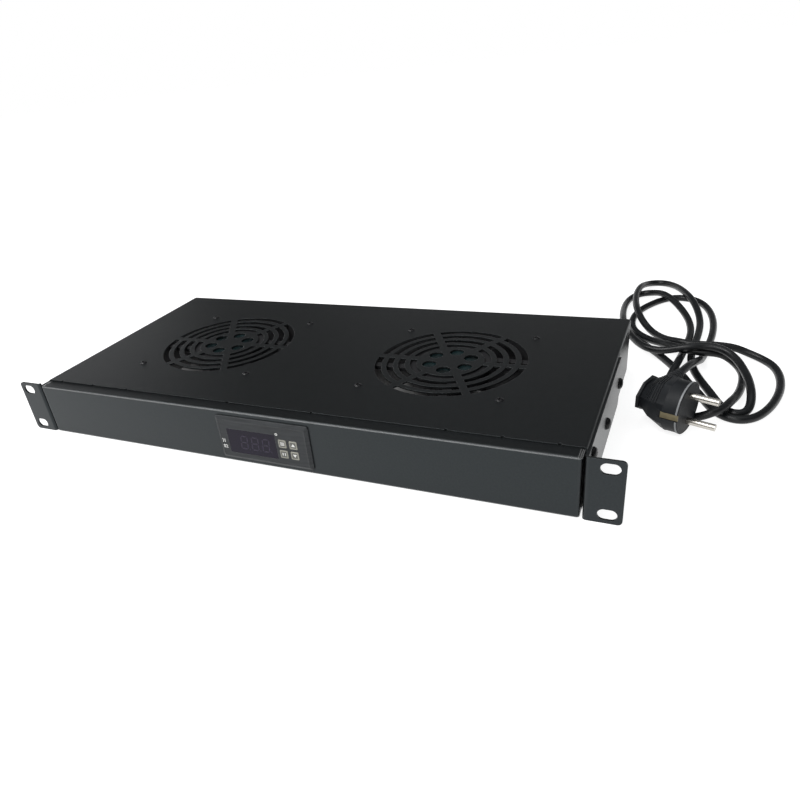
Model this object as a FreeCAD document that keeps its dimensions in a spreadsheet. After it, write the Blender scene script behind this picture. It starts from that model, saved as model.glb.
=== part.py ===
import FreeCAD, Part
import math
import os
import Sketcher

# Rack fan tray, one unit high, 19 inch.
#
# A folded steel chassis carries two axial fans under punched grilles, a front
# panel with a panel thermostat between the fans, two screwed rack brackets and
# a mains cord with an angled plug that lies coiled behind the right corner.
#
# Millimetres. X runs right, Y runs back, Z up. The origin is the centre of the
# four rack slots, on the front face of the rack brackets.

V = FreeCAD.Vector
LINE = Part.LineSegment
CONSTRAINT = Sketcher.Constraint

SIZES = {
    # rack brackets
    "unit_height": 44.0, "rack_width": 482.6, "slot_inset": 8.75, "slot_pitch": 31.75,
    "ear_width": 22.9, "slot_length": 11.4, "slot_width": 7.5, "bracket_sheet": 1.5, "bracket_bend": 2.5,
    "leg_length": 145.0, "leg_height": 40.0, "ear_corner": 3.0, "leg_corner": 5.0,
    # chassis
    "chassis_height": 43.8, "chassis_front": 10.5, "chassis_rear": 212.0,
    "chassis_sheet": 1.2, "chassis_bend": 2.0, "corner_gap": 0.6, "edge_notch": 1.2,
    "notch_1": 35.0, "notch_2": 132.5, "notch_3": 168.5, "notch_4": 202.5,
    # front panel
    "panel_sheet": 1.5, "panel_bend": 2.0, "panel_rise": 0.9, "panel_side_gap": 0.2,
    "flange_depth": 22.0, "return_depth": 28.0, "return_gap": 0.4,
    # bracket screws
    "side_screw_head": 6.6, "side_screw_shank": 4.0, "side_screw_rise": 2.4,
    "front_screw_y": 20.0, "middle_screw_y": 80.0, "rear_screw_inset": 4.0,
    "front_screw_z": 12.5, "rear_screw_z": -1.0, "nut_flats": 7.0, "nut_depth": 3.0,
    # fans
    "fan_spacing": 203.6, "fan_centre_y": 108.5, "fan_size": 119.6, "fan_depth": 38.0,
    "fan_pitch": 105.0, "fan_corner": 5.0, "fan_bore": 115.6, "fan_wall_size": 119.4,
    "fan_flange": 4.5, "fan_hole": 4.4, "base_size": 62.0, "base_sheet": 3.0, "base_drop": 0.6,
    "strut_width": 6.0, "strut_offset": 12.0, "core_drop": 5.0, "bearing_tube": 14.0, "bearing_tube_length": 25.0,
    "bearing_size": 10.0, "bearing_width": 4.0, "shaft_size": 4.0, "shaft_play": 0.05,
    "label_size": 44.0, "label_sheet": 0.3,
    # fan rotor and motor
    "hub_size": 58.0, "hub_wall": 1.5, "hub_depth": 27.0, "hub_top_gap": 2.0, "tip_gap": 1.6,
    "blade_count": 7, "blade_sheet": 1.8, "blade_depth": 23.0, "blade_turn": 34.0,
    "cage_wall": 3.0, "air_gap": 0.5, "core_depth": 16.0, "core_hub": 11.0, "pole_width": 9.0,
    "pole_shoe": 3.0, "coil_wall": 3.5,
    # grilles
    "grille_inner": 25.5, "grille_slot": 5.0, "grille_step": 9.0, "grille_rings": 4,
    "spoke_width": 5.5, "hub_hole": 11.0, "hub_hole_circle": 32.0,
    # fan fasteners and finger guards
    "bolt_head": 5.8, "bolt_rise": 1.2, "bolt_shank": 3.5, "bolt_nut_flats": 6.0,
    "bolt_nut_height": 2.6, "guard_wire": 1.6, "guard_inner": 14.0, "guard_step": 10.0,
    "guard_rings": 5,
    # thermostat
    "thermostat_x": -1.1, "thermostat_z": -0.6, "bezel_width": 77.2, "bezel_height": 35.0,
    "bezel_rise": 2.6, "bezel_rim": 2.6, "bezel_recess": 0.8, "bezel_corner": 2.5,
    "cutout_width": 71.0, "cutout_height": 29.0, "cutout_gap": 0.2, "housing_depth": 60.0,
    "housing_wall": 1.8, "window_width": 40.4, "window_height": 18.9, "window_x": -8.9,
    "window_z": -1.2, "window_sheet": 1.2, "fit_gap": 0.1, "button_size": 5.8,
    "button_x": 21.5, "button_pitch_x": 8.8, "button_z": -1.9, "button_pitch_z": 8.5,
    "button_rise": 0.7, "button_flange": 0.8, "button_travel": 0.4, "switch_body": 6.0,
    "switch_height": 3.4, "board_sheet": 1.6, "front_board_y": 5.4,
    "front_board_side": 1.0, "front_board_top": 0.5, "main_board_side": 2.5,
    "main_board_depth": 44.0, "main_board_drop": 9.0, "relay_width": 19.0, "relay_depth": 15.5,
    "relay_height": 15.0, "relay_x": 18.0, "relay_y": 28.0, "transformer_width": 23.0,
    "transformer_depth": 22.0, "transformer_height": 17.0, "transformer_x": 16.0,
    "transformer_y": 20.0, "clip_length": 30.0,
    "clip_width": 3.6, "clip_height": 14.0, "terminal_width": 60.0, "terminal_depth": 11.0,
    "terminal_height": 12.0, "terminal_count": 8, "terminal_screw": 3.6,
    # cords
    "cord_size": 6.0, "lead_size": 2.6, "exit_inset": 68.4, "exit_z": -3.0,
    "relief_length": 38.0, "relief_base": 12.0, "relief_tip": 7.2, "gland_size": 17.0,
    "gland_flange": 2.0, "gland_nut": 4.0,
    # plug
    "plug_x": 268.0, "plug_y": 117.4, "plug_turn": -19.5, "plug_size": 37.0,
    "plug_barrel": 10.0, "plug_body": 32.5, "grip_length": 31.0, "grip_height": 18.0,
    "grip_shift": 8.0, "grip_middle": 22.5, "middle_length": 37.5, "middle_height": 31.0,
    "middle_shift": 4.5, "grip_lip": 1.6, "lip_sheet": 2.2,
    "neck_offset": 26.5, "neck_end": 47.0, "neck_base": 14.5, "neck_tip": 7.6,
    "pin_pitch": 19.0, "pin_size": 4.8, "pin_length": 19.0, "earth_groove": 5.2,
    "earth_groove_depth": 2.2, "earth_groove_length": 25.0, "earth_clip": 4.4,
}

# Heights of the cord's route are measured from the surface that the tray stands on.
HUMP = 10.2
CORD_ROUTE = [
    (150, 250, 19), (150, 261, 19), (151, 276, 13.5), (156, 291, 7), (169, 300, 3), (190, 297, 3),
    (209, 283, 3), (220, 267, 3), (229, 253, 3), (237, 243, 3), (245, 230, 3), (253, 216, 3),
    (261, 200, 3), (267.5, 184, 3), (274.5, 170, 3), (280, 156, 3), (286, 145, 3), (294, 138, 3),
    (303, 137, 3), (311, 142.5, 3), (318, 154, 3), (324, 171, 3), (328, 191, 3), (328.5, 212, 3),
    (325, 230, 3), (317.5, 242, 3), (307, 248, 5), (296, 248.5, 9), (284, 248, HUMP),
    (273, 247.3, HUMP), (263, 247, HUMP), (254, 251, HUMP), (245, 262, 6.5), (237, 276, 3.4),
    (229, 289, 3), (221, 301, 6.5), (214.5, 317, HUMP), (210, 341, HUMP), (208, 366, HUMP),
    (209.5, 388, 9.6), (213, 408, 5.5), (221, 420, 3.2), (232, 419, 3.4), (242.5, 402, 6.5),
    (251.5, 377, 9.8), (260, 354, 9.8), (266, 334, 6), (269, 314, 3.2), (269, 293, 3),
    (267.5, 271, 3), (265.8, 252, 3), (265, 233, 3), (268, 213, 3), (274, 194, 3), (281, 176, 3),
    (286, 162, 3), (290, 152.5, 3), (296, 145.5, 3), (303.5, 146.5, 3), (307.5, 155, 4),
    (308, 167, 8.5), (306.5, 184, 10), (303, 201, 11), (298, 215, 13), (291, 224.5, 15),
    (283, 228, 16.8), (274, 229, 16.8), (265.5, 227, 16.8), (257, 226.5, 15), (249, 228, 12),
    (241, 229.5, HUMP), (232, 232, HUMP), (224, 241, HUMP), (216, 256, HUMP), (209, 274, HUMP),
    (204, 295, HUMP), (200.5, 328, 6), (200, 358, 3.2), (204, 376, 3), (212, 386, 3), (222, 384, 5),
    (231.5, 371, 9.6), (241, 356, 9.8), (250, 342, 6.5), (257, 327, 3.4), (261, 308, 3),
    (262.5, 287, 3), (261, 266, 3), (259, 249, 3), (257.5, 234, 3.4), (257, 220, 8.3),
    (256, 206, 10.8), (253, 194, 7.5), (250, 181, 3.6), (249, 166, 3), (253.5, 151, 3), (262, 139, 3),
    (270.5, 133, 3), (278, 131, 6.5), (285.5, 132.5, HUMP), (290.5, 139, HUMP), (294.5, 149.5, HUMP),
    (299, 167, 6.5), (302, 187, 3.2), (303.5, 206, 3), (301.5, 220, 3.2), (296, 230, 5),
    (288.5, 233, 8.5), (281, 231, 10.6), (273, 230.5, 10.6), (265, 232, 10.6), (257, 235.5, HUMP),
    (249, 242, HUMP), (240.5, 255, 6), (231, 267, 3), (222, 276, 3), (214.5, 289, 3), (211, 306, 3),
    (211.5, 325, 3), (216, 341, 3), (223, 356, 3), (232, 369, 3), (241, 376.5, 3), (251.5, 377.5, 3),
    (262, 373, 3), (271, 360, 3), (277, 340, 3), (280, 315, 3), (280, 290, 3), (278, 268, 3),
    (275.5, 248.5, 3), (273, 232, 3.2), (271.5, 218.5, 9), (269.5, 205, 13.8), (266, 192.5, 17.2),
    (262.7, 181.9, 18.5), (258.7, 170.6, 18.5),
]

# Sizes that follow from the ones above.
S = dict(SIZES)
S["chassis_width"] = S["rack_width"] - 2 * S["ear_width"]
S["slot_spacing"] = S["rack_width"] - 2 * S["slot_inset"]
S["rear_screw_y"] = S["leg_length"] - S["rear_screw_inset"]
S["exit_x"] = S["chassis_width"] / 2 - S["exit_inset"]
inside = S["cutout_gap"] + S["housing_wall"]
S["front_board_width"] = S["cutout_width"] - 2 * (inside + S["front_board_side"])
S["front_board_height"] = S["cutout_height"] - 2 * (inside + S["front_board_top"])
S["main_board_width"] = S["cutout_width"] - 2 * (inside + S["main_board_side"])

doc = FreeCAD.newDocument("rack_fan_tray")


# ---------------------------------------------------------------- sheet and drawing helpers

def make_sheet():
    sheet = doc.addObject("Spreadsheet::Sheet", "dims")
    for row, (name, number) in enumerate(S.items(), 1):
        sheet.set(f"A{row}", name)
        sheet.set(f"B{row}", str(number))
        sheet.setAlias(f"B{row}", name)
    doc.recompute()


def bind(item, **formulas):
    """Bind properties to formulas; x, y and z stand for the placement."""
    for name, formula in formulas.items():
        path = f"Placement.Base.{name}" if name in ("x", "y", "z") else name
        item.setExpression(path, str(formula))
    return item


def turn(item, axis, degrees):
    base = item.Placement.Base
    item.Placement = FreeCAD.Placement(base, FreeCAD.Rotation(axis, degrees))
    return item


def box(name, length, width, height, x="0", y="0", z="0"):
    """Box centred on (x, y) in plan, with its underside at z."""
    item = doc.addObject("Part::Box", name)
    bind(item, Length=length, Width=width, Height=height)
    return bind(item, x=f"{x} - ({length}) / 2", y=f"{y} - ({width}) / 2", z=z)


def cylinder(name, radius, height, x="0", y="0", z="0"):
    item = doc.addObject("Part::Cylinder", name)
    return bind(item, Radius=radius, Height=height, x=x, y=y, z=z)


def cone(name, radius, tip_radius, height, x="0", y="0", z="0"):
    item = doc.addObject("Part::Cone", name)
    return bind(item, Radius1=radius, Radius2=tip_radius, Height=height, x=x, y=y, z=z)


def along_x(item):
    return turn(item, V(0, 1, 0), 90)


def along_y(item):
    return turn(item, V(1, 0, 0), -90)


def fuse(name, *items):
    item = doc.addObject("Part::MultiFuse", name)
    item.Shapes = list(items)
    return item


def cut(name, base, tool):
    item = doc.addObject("Part::Cut", name)
    item.Base = base
    item.Tool = tool
    return item


def common(name, base, tool):
    item = doc.addObject("Part::Common", name)
    item.Base = base
    item.Tool = tool
    return item


def group(name, items):
    item = doc.addObject("Part::Compound", name)
    item.Links = list(items)
    return item


def copies(name, master, places):
    """Group of links to one piece; each place is three formulas and a rotation or None."""
    links = []
    for number, (x, y, z, rotation) in enumerate(places, 1):
        link = doc.addObject("App::Link", f"{name}_{number}")
        link.LinkedObject = master
        if rotation:
            link.Placement = FreeCAD.Placement(V(0, 0, 0), rotation)
        links.append(bind(link, x=x, y=y, z=z))
    return group(name, links)


def mirrored(name, source):
    item = doc.addObject("Part::Mirroring", name)
    item.Source = source
    item.Normal = V(1, 0, 0)
    return item


def body(name):
    return doc.addObject("PartDesign::Body", name)


def sketch(owner, role, name, x="0", y="0", offset="0"):
    """Sketch on one of the body's origin planes, moved by (x, y) in plan and by offset."""
    item = owner.newObject("Sketcher::SketchObject", name)
    plane = next(p for p in owner.Origin.OriginFeatures if p.Role == role)
    item.AttachmentSupport = [(plane, "")]
    item.MapMode = "FlatFace"
    for axis, formula in zip("xyz", (x, y, offset)):
        item.setExpression(f"AttachmentOffset.Base.{axis}", str(formula))
    return item


def drive(item, constraint, formula):
    number = item.addConstraint(constraint)
    item.setExpression(f"Constraints[{number}]", str(formula))


def rectangle(item, width, height, x="0", y="0"):
    """Rectangle centred on (x, y) of the sketch."""
    corners = [V(0, 0, 0), V(1, 0, 0), V(1, 1, 0), V(0, 1, 0)]
    first = item.GeometryCount
    lines = [LINE(corners[k], corners[(k + 1) % 4]) for k in range(4)]
    item.addGeometry(lines, False)
    for k in range(4):
        item.addConstraint(CONSTRAINT("Coincident", first + k, 2, first + (k + 1) % 4, 1))
        item.addConstraint(CONSTRAINT("Vertical" if k % 2 else "Horizontal", first + k))
    drive(item, CONSTRAINT("DistanceX", first, 1, first, 2, 1.0), width)
    drive(item, CONSTRAINT("DistanceY", first + 1, 1, first + 1, 2, 1.0), height)
    drive(item, CONSTRAINT("DistanceX", -1, 1, first, 1, 0.5), f"{x} - ({width}) / 2")
    drive(item, CONSTRAINT("DistanceY", -1, 1, first, 1, 0.5), f"{y} - ({height}) / 2")


def circle(item, radius, x="0", y="0"):
    number = item.addGeometry(Part.Circle(V(0.5, 0.5, 0), V(0, 0, 1), 1.0), False)
    drive(item, CONSTRAINT("Radius", number, 1.0), radius)
    drive(item, CONSTRAINT("DistanceX", -1, 1, number, 3, 0.5), x)
    drive(item, CONSTRAINT("DistanceY", -1, 1, number, 3, 0.5), y)


def outline(item, points):
    """Closed chain of lines and arcs; a point may hold a bend: (x, y, radius)."""
    count = len(points)
    ends = []
    for k in range(count):
        here = V(points[k][0], points[k][1], 0)
        before = V(*points[k - 1][:2], 0) - here
        after = V(*points[(k + 1) % count][:2], 0) - here
        radius = points[k][2] if len(points[k]) > 2 else 0
        if not radius:
            ends.append((here, None, here))
            continue
        before.normalize()
        after.normalize()
        half = before.getAngle(after) / 2
        reach = radius / math.tan(half)
        middle = (before + after).normalize() * (radius / math.sin(half) - radius)
        ends.append((here + before * reach, here + middle, here + after * reach))
    for k in range(count):
        start, middle, stop = ends[k]
        if middle:
            item.addGeometry(Part.Arc(start, middle, stop), False)
        following = ends[(k + 1) % count][0]
        if (following - stop).Length > 1e-6:
            item.addGeometry(LINE(stop, following), False)


def pad(owner, profile, length, name, midplane=False, reverse=False):
    item = owner.newObject("PartDesign::Pad", name)
    item.Profile = profile
    item.Midplane = midplane
    item.Reversed = reverse
    item.setExpression("Length", str(length))
    return item


def pocket(owner, profile, name, depth=None, midplane=False, reverse=False):
    """Pocket of one depth, or through everything when no depth is given."""
    item = owner.newObject("PartDesign::Pocket", name)
    item.Profile = profile
    item.Midplane = midplane
    item.Reversed = reverse
    if depth:
        item.setExpression("Length", str(depth))
    else:
        item.Type = "ThroughAll"
    return item


def polar(owner, original, profile, count, name):
    """Copies of one feature about the normal through its sketch's own origin."""
    item = owner.newObject("PartDesign::PolarPattern", name)
    item.Originals = [original]
    item.Axis = (profile, ["N_Axis"])
    item.Angle = 360
    item.Occurrences = count
    owner.Tip = item
    return item


def round_edges(owner, base, radius, chosen, name):
    """Fillet the edges of a feature that the test picks by their middle and direction."""
    doc.recompute()
    names = []
    for number, edge in enumerate(base.Shape.Edges, 1):
        if edge.Curve.TypeId != "Part::GeomLine":
            continue
        middle = (edge.Vertexes[0].Point + edge.Vertexes[-1].Point) * 0.5
        direction = (edge.Vertexes[-1].Point - edge.Vertexes[0].Point).normalize()
        if chosen(middle, direction):
            names.append(f"Edge{number}")
    item = owner.newObject("PartDesign::Fillet", name)
    item.Base = (base, names)
    item.setExpression("Radius", str(radius))
    return item


# ---------------------------------------------------------------- derived places

BASE_Z = -S["unit_height"] / 2
TOP_Z = BASE_Z + S["chassis_height"]
base_z = "(-dims.unit_height / 2)"
top_z = f"({base_z} + dims.chassis_height)"
under_top = f"({top_z} - dims.chassis_sheet)"
fan_bottom = f"({under_top} - dims.fan_depth)"
panel_width = "(dims.chassis_width - 2 * dims.chassis_sheet - 2 * dims.panel_side_gap)"
leg_outside = "(dims.chassis_width / 2 + dims.bracket_sheet)"
FAN_X = {"left": "(-dims.fan_spacing / 2)", "right": "(dims.fan_spacing / 2)"}


# ---------------------------------------------------------------- chassis, panel and brackets

def make_chassis():
    chassis = body("chassis")
    half = S["chassis_width"] / 2
    sheet = S["chassis_sheet"]
    bend = S["chassis_bend"]
    profile = sketch(chassis, "XZ_Plane", "chassis_hat", offset="-(dims.chassis_rear - dims.chassis_bend)")
    outline(profile, [
        (-half, BASE_Z), (-half, TOP_Z, bend), (half, TOP_Z, bend), (half, BASE_Z),
        (half - sheet, BASE_Z), (half - sheet, TOP_Z - sheet, bend - sheet),
        (sheet - half, TOP_Z - sheet, bend - sheet), (sheet - half, BASE_Z),
    ])
    pad(chassis, profile, "dims.chassis_rear - dims.chassis_bend - dims.chassis_front", "chassis_fold")
    rear = S["chassis_rear"]
    lip = sketch(chassis, "YZ_Plane", "rear_profile")
    outline(lip, [
        (rear - bend, TOP_Z), (rear, TOP_Z, bend), (rear, BASE_Z), (rear - sheet, BASE_Z),
        (rear - sheet, TOP_Z - sheet, bend - sheet), (rear - bend, TOP_Z - sheet),
    ])
    rear_width = "dims.chassis_width - 2 * (dims.chassis_bend + dims.corner_gap)"
    pad(chassis, lip, rear_width, "rear_wall", midplane=True)

    notches = sketch(chassis, "XY_Plane", "edge_notches", offset=top_z)
    for number in range(1, 5):
        for side in ("", "-"):
            circle(notches, "dims.edge_notch", f"{side}dims.notch_{number}", "dims.chassis_front")
    pocket(chassis, notches, "notch_cut", "dims.chassis_sheet * 2")

    for side, fan_x in FAN_X.items():
        add_grille(chassis, side, fan_x)

    holes = sketch(chassis, "YZ_Plane", "bracket_holes")
    for y, z in bracket_screw_places():
        circle(holes, "dims.side_screw_shank / 2 + dims.fit_gap", y, z)
    pocket(chassis, holes, "bracket_hole_cut", midplane=True)

    exit_hole = sketch(chassis, "XZ_Plane", "exit_hole", offset="-dims.chassis_rear")
    circle(exit_hole, "dims.relief_base / 2", "dims.exit_x", "dims.exit_z")
    pocket(chassis, exit_hole, "exit_cut", "dims.chassis_sheet * 2", reverse=True)
    return chassis


def add_grille(chassis, side, fan_x):
    """Ring slots between six spokes, six hub holes and four screw holes over one fan."""
    sector = sketch(chassis, "XY_Plane", f"{side}_grille_sector", fan_x, "dims.fan_centre_y", top_z)
    half_spoke = S["spoke_width"] / 2
    for ring in range(S["grille_rings"]):
        inner = S["grille_inner"] + ring * S["grille_step"]
        outer = inner + S["grille_slot"]
        ring_slot(sector, inner, outer, half_spoke, math.radians(60))
    circle(sector, "dims.hub_hole / 2", "dims.hub_hole_circle / 2 * cos(30)",
           "dims.hub_hole_circle / 2 * sin(30)")
    slots = pocket(chassis, sector, f"{side}_grille_cut", "dims.chassis_sheet * 2")
    polar(chassis, slots, sector, 6, f"{side}_grille")

    corner = sketch(chassis, "XY_Plane", f"{side}_screw_hole", fan_x, "dims.fan_centre_y", top_z)
    circle(corner, "dims.fan_hole / 2", "dims.fan_pitch / 2", "dims.fan_pitch / 2")
    hole = pocket(chassis, corner, f"{side}_screw_cut", "dims.chassis_sheet * 2")
    polar(chassis, hole, corner, 4, f"{side}_screw_holes")


def ring_slot(item, inner, outer, half_spoke, angle):
    """One ring slot between two radial spokes of constant width."""
    def ends(radius):
        lean = math.asin(half_spoke / radius)
        return lean, angle - lean

    def point(radius, at):
        return V(radius * math.cos(at), radius * math.sin(at), 0)

    inner_from, inner_to = ends(inner)
    outer_from, outer_to = ends(outer)
    item.addGeometry([
        Part.Arc(point(inner, inner_from), point(inner, angle / 2), point(inner, inner_to)),
        LINE(point(inner, inner_to), point(outer, outer_to)),
        Part.Arc(point(outer, outer_to), point(outer, angle / 2), point(outer, outer_from)),
        LINE(point(outer, outer_from), point(inner, inner_from)),
    ], False)


def make_front_panel():
    panel = body("front_panel")
    sheet = S["panel_sheet"]
    bend = S["panel_bend"]
    top = TOP_Z - S["chassis_sheet"]
    bottom = BASE_Z + S["panel_rise"]
    half = S["chassis_width"] / 2 - S["chassis_sheet"] - S["panel_side_gap"]

    face = sketch(panel, "XY_Plane", "panel_plan", offset=f"{base_z} + dims.panel_rise")
    back = S["return_depth"]
    outline(face, [
        (-half, back), (-half, 0, bend), (half, 0, bend), (half, back), (half - sheet, back),
        (half - sheet, sheet, bend - sheet), (sheet - half, sheet, bend - sheet), (sheet - half, back),
    ])
    pad(panel, face, "dims.chassis_height - dims.chassis_sheet - dims.panel_rise - dims.return_gap", "panel_returns")

    side = sketch(panel, "YZ_Plane", "panel_section")
    outline(side, [
        (0, bottom), (0, top, bend), (S["flange_depth"], top), (S["flange_depth"], top - sheet),
        (sheet, top - sheet, bend - sheet), (sheet, bottom),
    ])
    pad(panel, side, f"{panel_width} - 2 * dims.panel_bend", "panel_face", midplane=True)

    opening = sketch(panel, "XZ_Plane", "thermostat_opening")
    rectangle(opening, "dims.cutout_width", "dims.cutout_height", "dims.thermostat_x", "dims.thermostat_z")
    pocket(panel, opening, "thermostat_cut", "dims.panel_sheet * 2")

    holes = sketch(panel, "YZ_Plane", "return_holes")
    circle(holes, "dims.side_screw_shank / 2 + dims.fit_gap", "dims.front_screw_y", "dims.front_screw_z")
    pocket(panel, holes, "return_hole_cut", midplane=True)
    return panel


def bracket_screw_places():
    return [
        ("dims.front_screw_y", "dims.front_screw_z"),
        ("dims.middle_screw_y", "dims.rear_screw_z"),
        ("dims.rear_screw_y", "dims.rear_screw_z"),
    ]


def make_brackets():
    bracket = body("right_rack_bracket")
    sheet = S["bracket_sheet"]
    bend = S["bracket_bend"]
    inside = S["chassis_width"] / 2
    plan = sketch(bracket, "XY_Plane", "bracket_plan", offset=base_z)
    outline(plan, [
        (inside, 0, bend), (S["rack_width"] / 2, 0), (S["rack_width"] / 2, sheet),
        (inside + sheet, sheet, bend - sheet), (inside + sheet, S["leg_length"]),
        (inside, S["leg_length"]),
    ])
    base = pad(bracket, plan, "dims.unit_height", "bracket_fold")

    def leg_end(middle, direction):
        return abs(direction.x) > 0.9 and middle.y > S["leg_length"] - 0.1

    def ear_end(middle, direction):
        return abs(direction.y) > 0.9 and middle.x > S["rack_width"] / 2 - 0.1

    trims = sketch(bracket, "YZ_Plane", "leg_trims")
    for sign in ("", "-"):
        rectangle(trims, "dims.leg_length", "(dims.unit_height - dims.leg_height) / 2",
                  "dims.leg_length / 2 + dims.bracket_bend",
                  f"{sign}(dims.unit_height + dims.leg_height) / 4")
    leg = pocket(bracket, trims, "leg_trim_cut", midplane=True)

    slots = sketch(bracket, "XZ_Plane", "rack_slots")
    for sign in ("", "-"):
        obround(slots, "dims.slot_length", "dims.slot_width", "dims.slot_spacing / 2",
                f"{sign}dims.slot_pitch / 2")
    pocket(bracket, slots, "slot_cut", midplane=True)

    holes = sketch(bracket, "YZ_Plane", "leg_holes")
    for y, z in bracket_screw_places():
        circle(holes, "dims.side_screw_shank / 2 + dims.fit_gap", y, z)
    drilled = pocket(bracket, holes, "leg_hole_cut", midplane=True)
    rounded = round_edges(bracket, drilled, "dims.ear_corner", ear_end, "ear_corners")
    round_edges(bracket, rounded, "dims.leg_corner", leg_end, "leg_corners")
    return bracket, mirrored("left_rack_bracket", bracket)


def obround(item, length, width, x, y):
    """Slot with round ends, centred on (x, y) and long in the sketch's first direction."""
    first = item.GeometryCount
    item.addGeometry([
        LINE(V(-5, 2, 0), V(5, 2, 0)),
        Part.ArcOfCircle(Part.Circle(V(5, 0, 0), V(0, 0, 1), 2), -math.pi / 2, math.pi / 2),
        LINE(V(5, -2, 0), V(-5, -2, 0)),
        Part.ArcOfCircle(Part.Circle(V(-5, 0, 0), V(0, 0, 1), 2), math.pi / 2, 3 * math.pi / 2),
    ], False)
    item.addConstraint(CONSTRAINT("Tangent", first, 2, first + 1, 2))
    item.addConstraint(CONSTRAINT("Tangent", first + 1, 1, first + 2, 1))
    item.addConstraint(CONSTRAINT("Tangent", first + 2, 2, first + 3, 2))
    item.addConstraint(CONSTRAINT("Tangent", first + 3, 1, first, 1))
    item.addConstraint(CONSTRAINT("Horizontal", first))
    item.addConstraint(CONSTRAINT("Equal", first + 1, first + 3))
    drive(item, CONSTRAINT("Radius", first + 1, 2.0), f"({width}) / 2")
    drive(item, CONSTRAINT("DistanceX", first + 3, 3, first + 1, 3, 10.0), f"({length}) - ({width})")
    drive(item, CONSTRAINT("DistanceX", -1, 1, first + 1, 3, 5.0), f"{x} + (({length}) - ({width})) / 2")
    drive(item, CONSTRAINT("DistanceY", -1, 1, first + 1, 3, 0.1), y)


# ---------------------------------------------------------------- fasteners

def pan_head_screw(name, head, rise, shank, length):
    """Pan head over z = 0 with a cross recess, its shank pointing down."""
    dome = doc.addObject("Part::Sphere", f"{name}_dome")
    bind(dome, Radius=f"({head}) * 0.72", z=f"({rise}) - ({head}) * 0.72")
    blank = common(f"{name}_head", cylinder(f"{name}_blank", f"({head}) / 2", rise), dome)
    stem = cylinder(f"{name}_shank", f"({shank}) / 2", length, z=f"-({length})")
    arms = [
        box(f"{name}_arm_1", f"({head}) * 0.55", "0.8", "2", z=f"({rise}) * 0.35"),
        box(f"{name}_arm_2", "0.8", f"({head}) * 0.55", "2", z=f"({rise}) * 0.35"),
    ]
    whole = fuse(f"{name}_whole", blank, stem)
    return cut(name, whole, fuse(f"{name}_cross", *arms))


def hexagon_nut(name, flats, height, bore):
    """Nut standing on z = 0."""
    prism = doc.addObject("Part::Prism", f"{name}_prism")
    prism.Polygon = 6
    bind(prism, Circumradius=f"({flats}) / sqrt(3)", Height=height)
    return cut(name, prism, cylinder(f"{name}_bore", f"({bore}) / 2", height))


def make_bracket_fasteners():
    panel_inside = f"({panel_width} / 2 - dims.panel_sheet)"
    chassis_inside = "(dims.chassis_width / 2 - dims.chassis_sheet)"
    reach = f"({leg_outside} - {panel_inside} + dims.nut_depth)"
    screw = pan_head_screw("side_screw", "dims.side_screw_head", "dims.side_screw_rise",
                           "dims.side_screw_shank", reach)
    nut = hexagon_nut("side_nut", "dims.nut_flats", "dims.nut_depth", "dims.side_screw_shank")
    pieces = []
    for side, sign in (("left", -1), ("right", 1)):
        inward = FreeCAD.Rotation(V(0, 1, 0), -90 * sign)
        outward = FreeCAD.Rotation(V(0, 1, 0), 90 * sign)
        seats = [panel_inside, chassis_inside, chassis_inside]
        screws = [(f"{sign} * {leg_outside}", y, z, outward) for y, z in bracket_screw_places()]
        nuts = [(f"{sign} * {seat}", y, z, inward)
                for seat, (y, z) in zip(seats, bracket_screw_places())]
        pieces.append(copies(f"{side}_bracket_screws", screw, screws))
        pieces.append(copies(f"{side}_clinch_nuts", nut, nuts))
    return pieces


def make_fan_fasteners():
    clamp = "(dims.chassis_sheet + dims.fan_depth + dims.guard_wire)"
    length = f"({clamp} + dims.bolt_nut_height)"
    bolt = pan_head_screw("fan_bolt", "dims.bolt_head", "dims.bolt_rise", "dims.bolt_shank", length)
    nut = hexagon_nut("fan_nut", "dims.bolt_nut_flats", "dims.bolt_nut_height", "dims.bolt_shank")
    corners = [(fan_x, i, k) for fan_x in FAN_X.values() for i in ("", "-") for k in ("", "-")]
    bolts = []
    nuts = []
    for fan_x, i, k in corners:
        x = f"{fan_x} + {i}dims.fan_pitch / 2"
        y = f"dims.fan_centre_y + {k}dims.fan_pitch / 2"
        bolts.append((x, y, top_z, None))
        nuts.append((x, y, f"{fan_bottom} - dims.guard_wire - dims.bolt_nut_height", None))
    return [copies("fan_bolts", bolt, bolts), copies("fan_nuts", nut, nuts)]


# ---------------------------------------------------------------- fans

base_top = f"({under_top} - dims.base_drop)"
base_bottom = f"({base_top} - dims.base_sheet)"
hub_top = f"({base_bottom} - dims.hub_top_gap)"
hub_bottom = f"({hub_top} - dims.hub_depth)"
tube_bottom = f"({base_bottom} - dims.bearing_tube_length)"
cage_outside = "(dims.hub_size / 2 - dims.hub_wall)"
core_radius = f"({cage_outside} - dims.cage_wall - dims.air_gap)"
core_top = f"({base_bottom} - dims.core_drop)"


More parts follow.
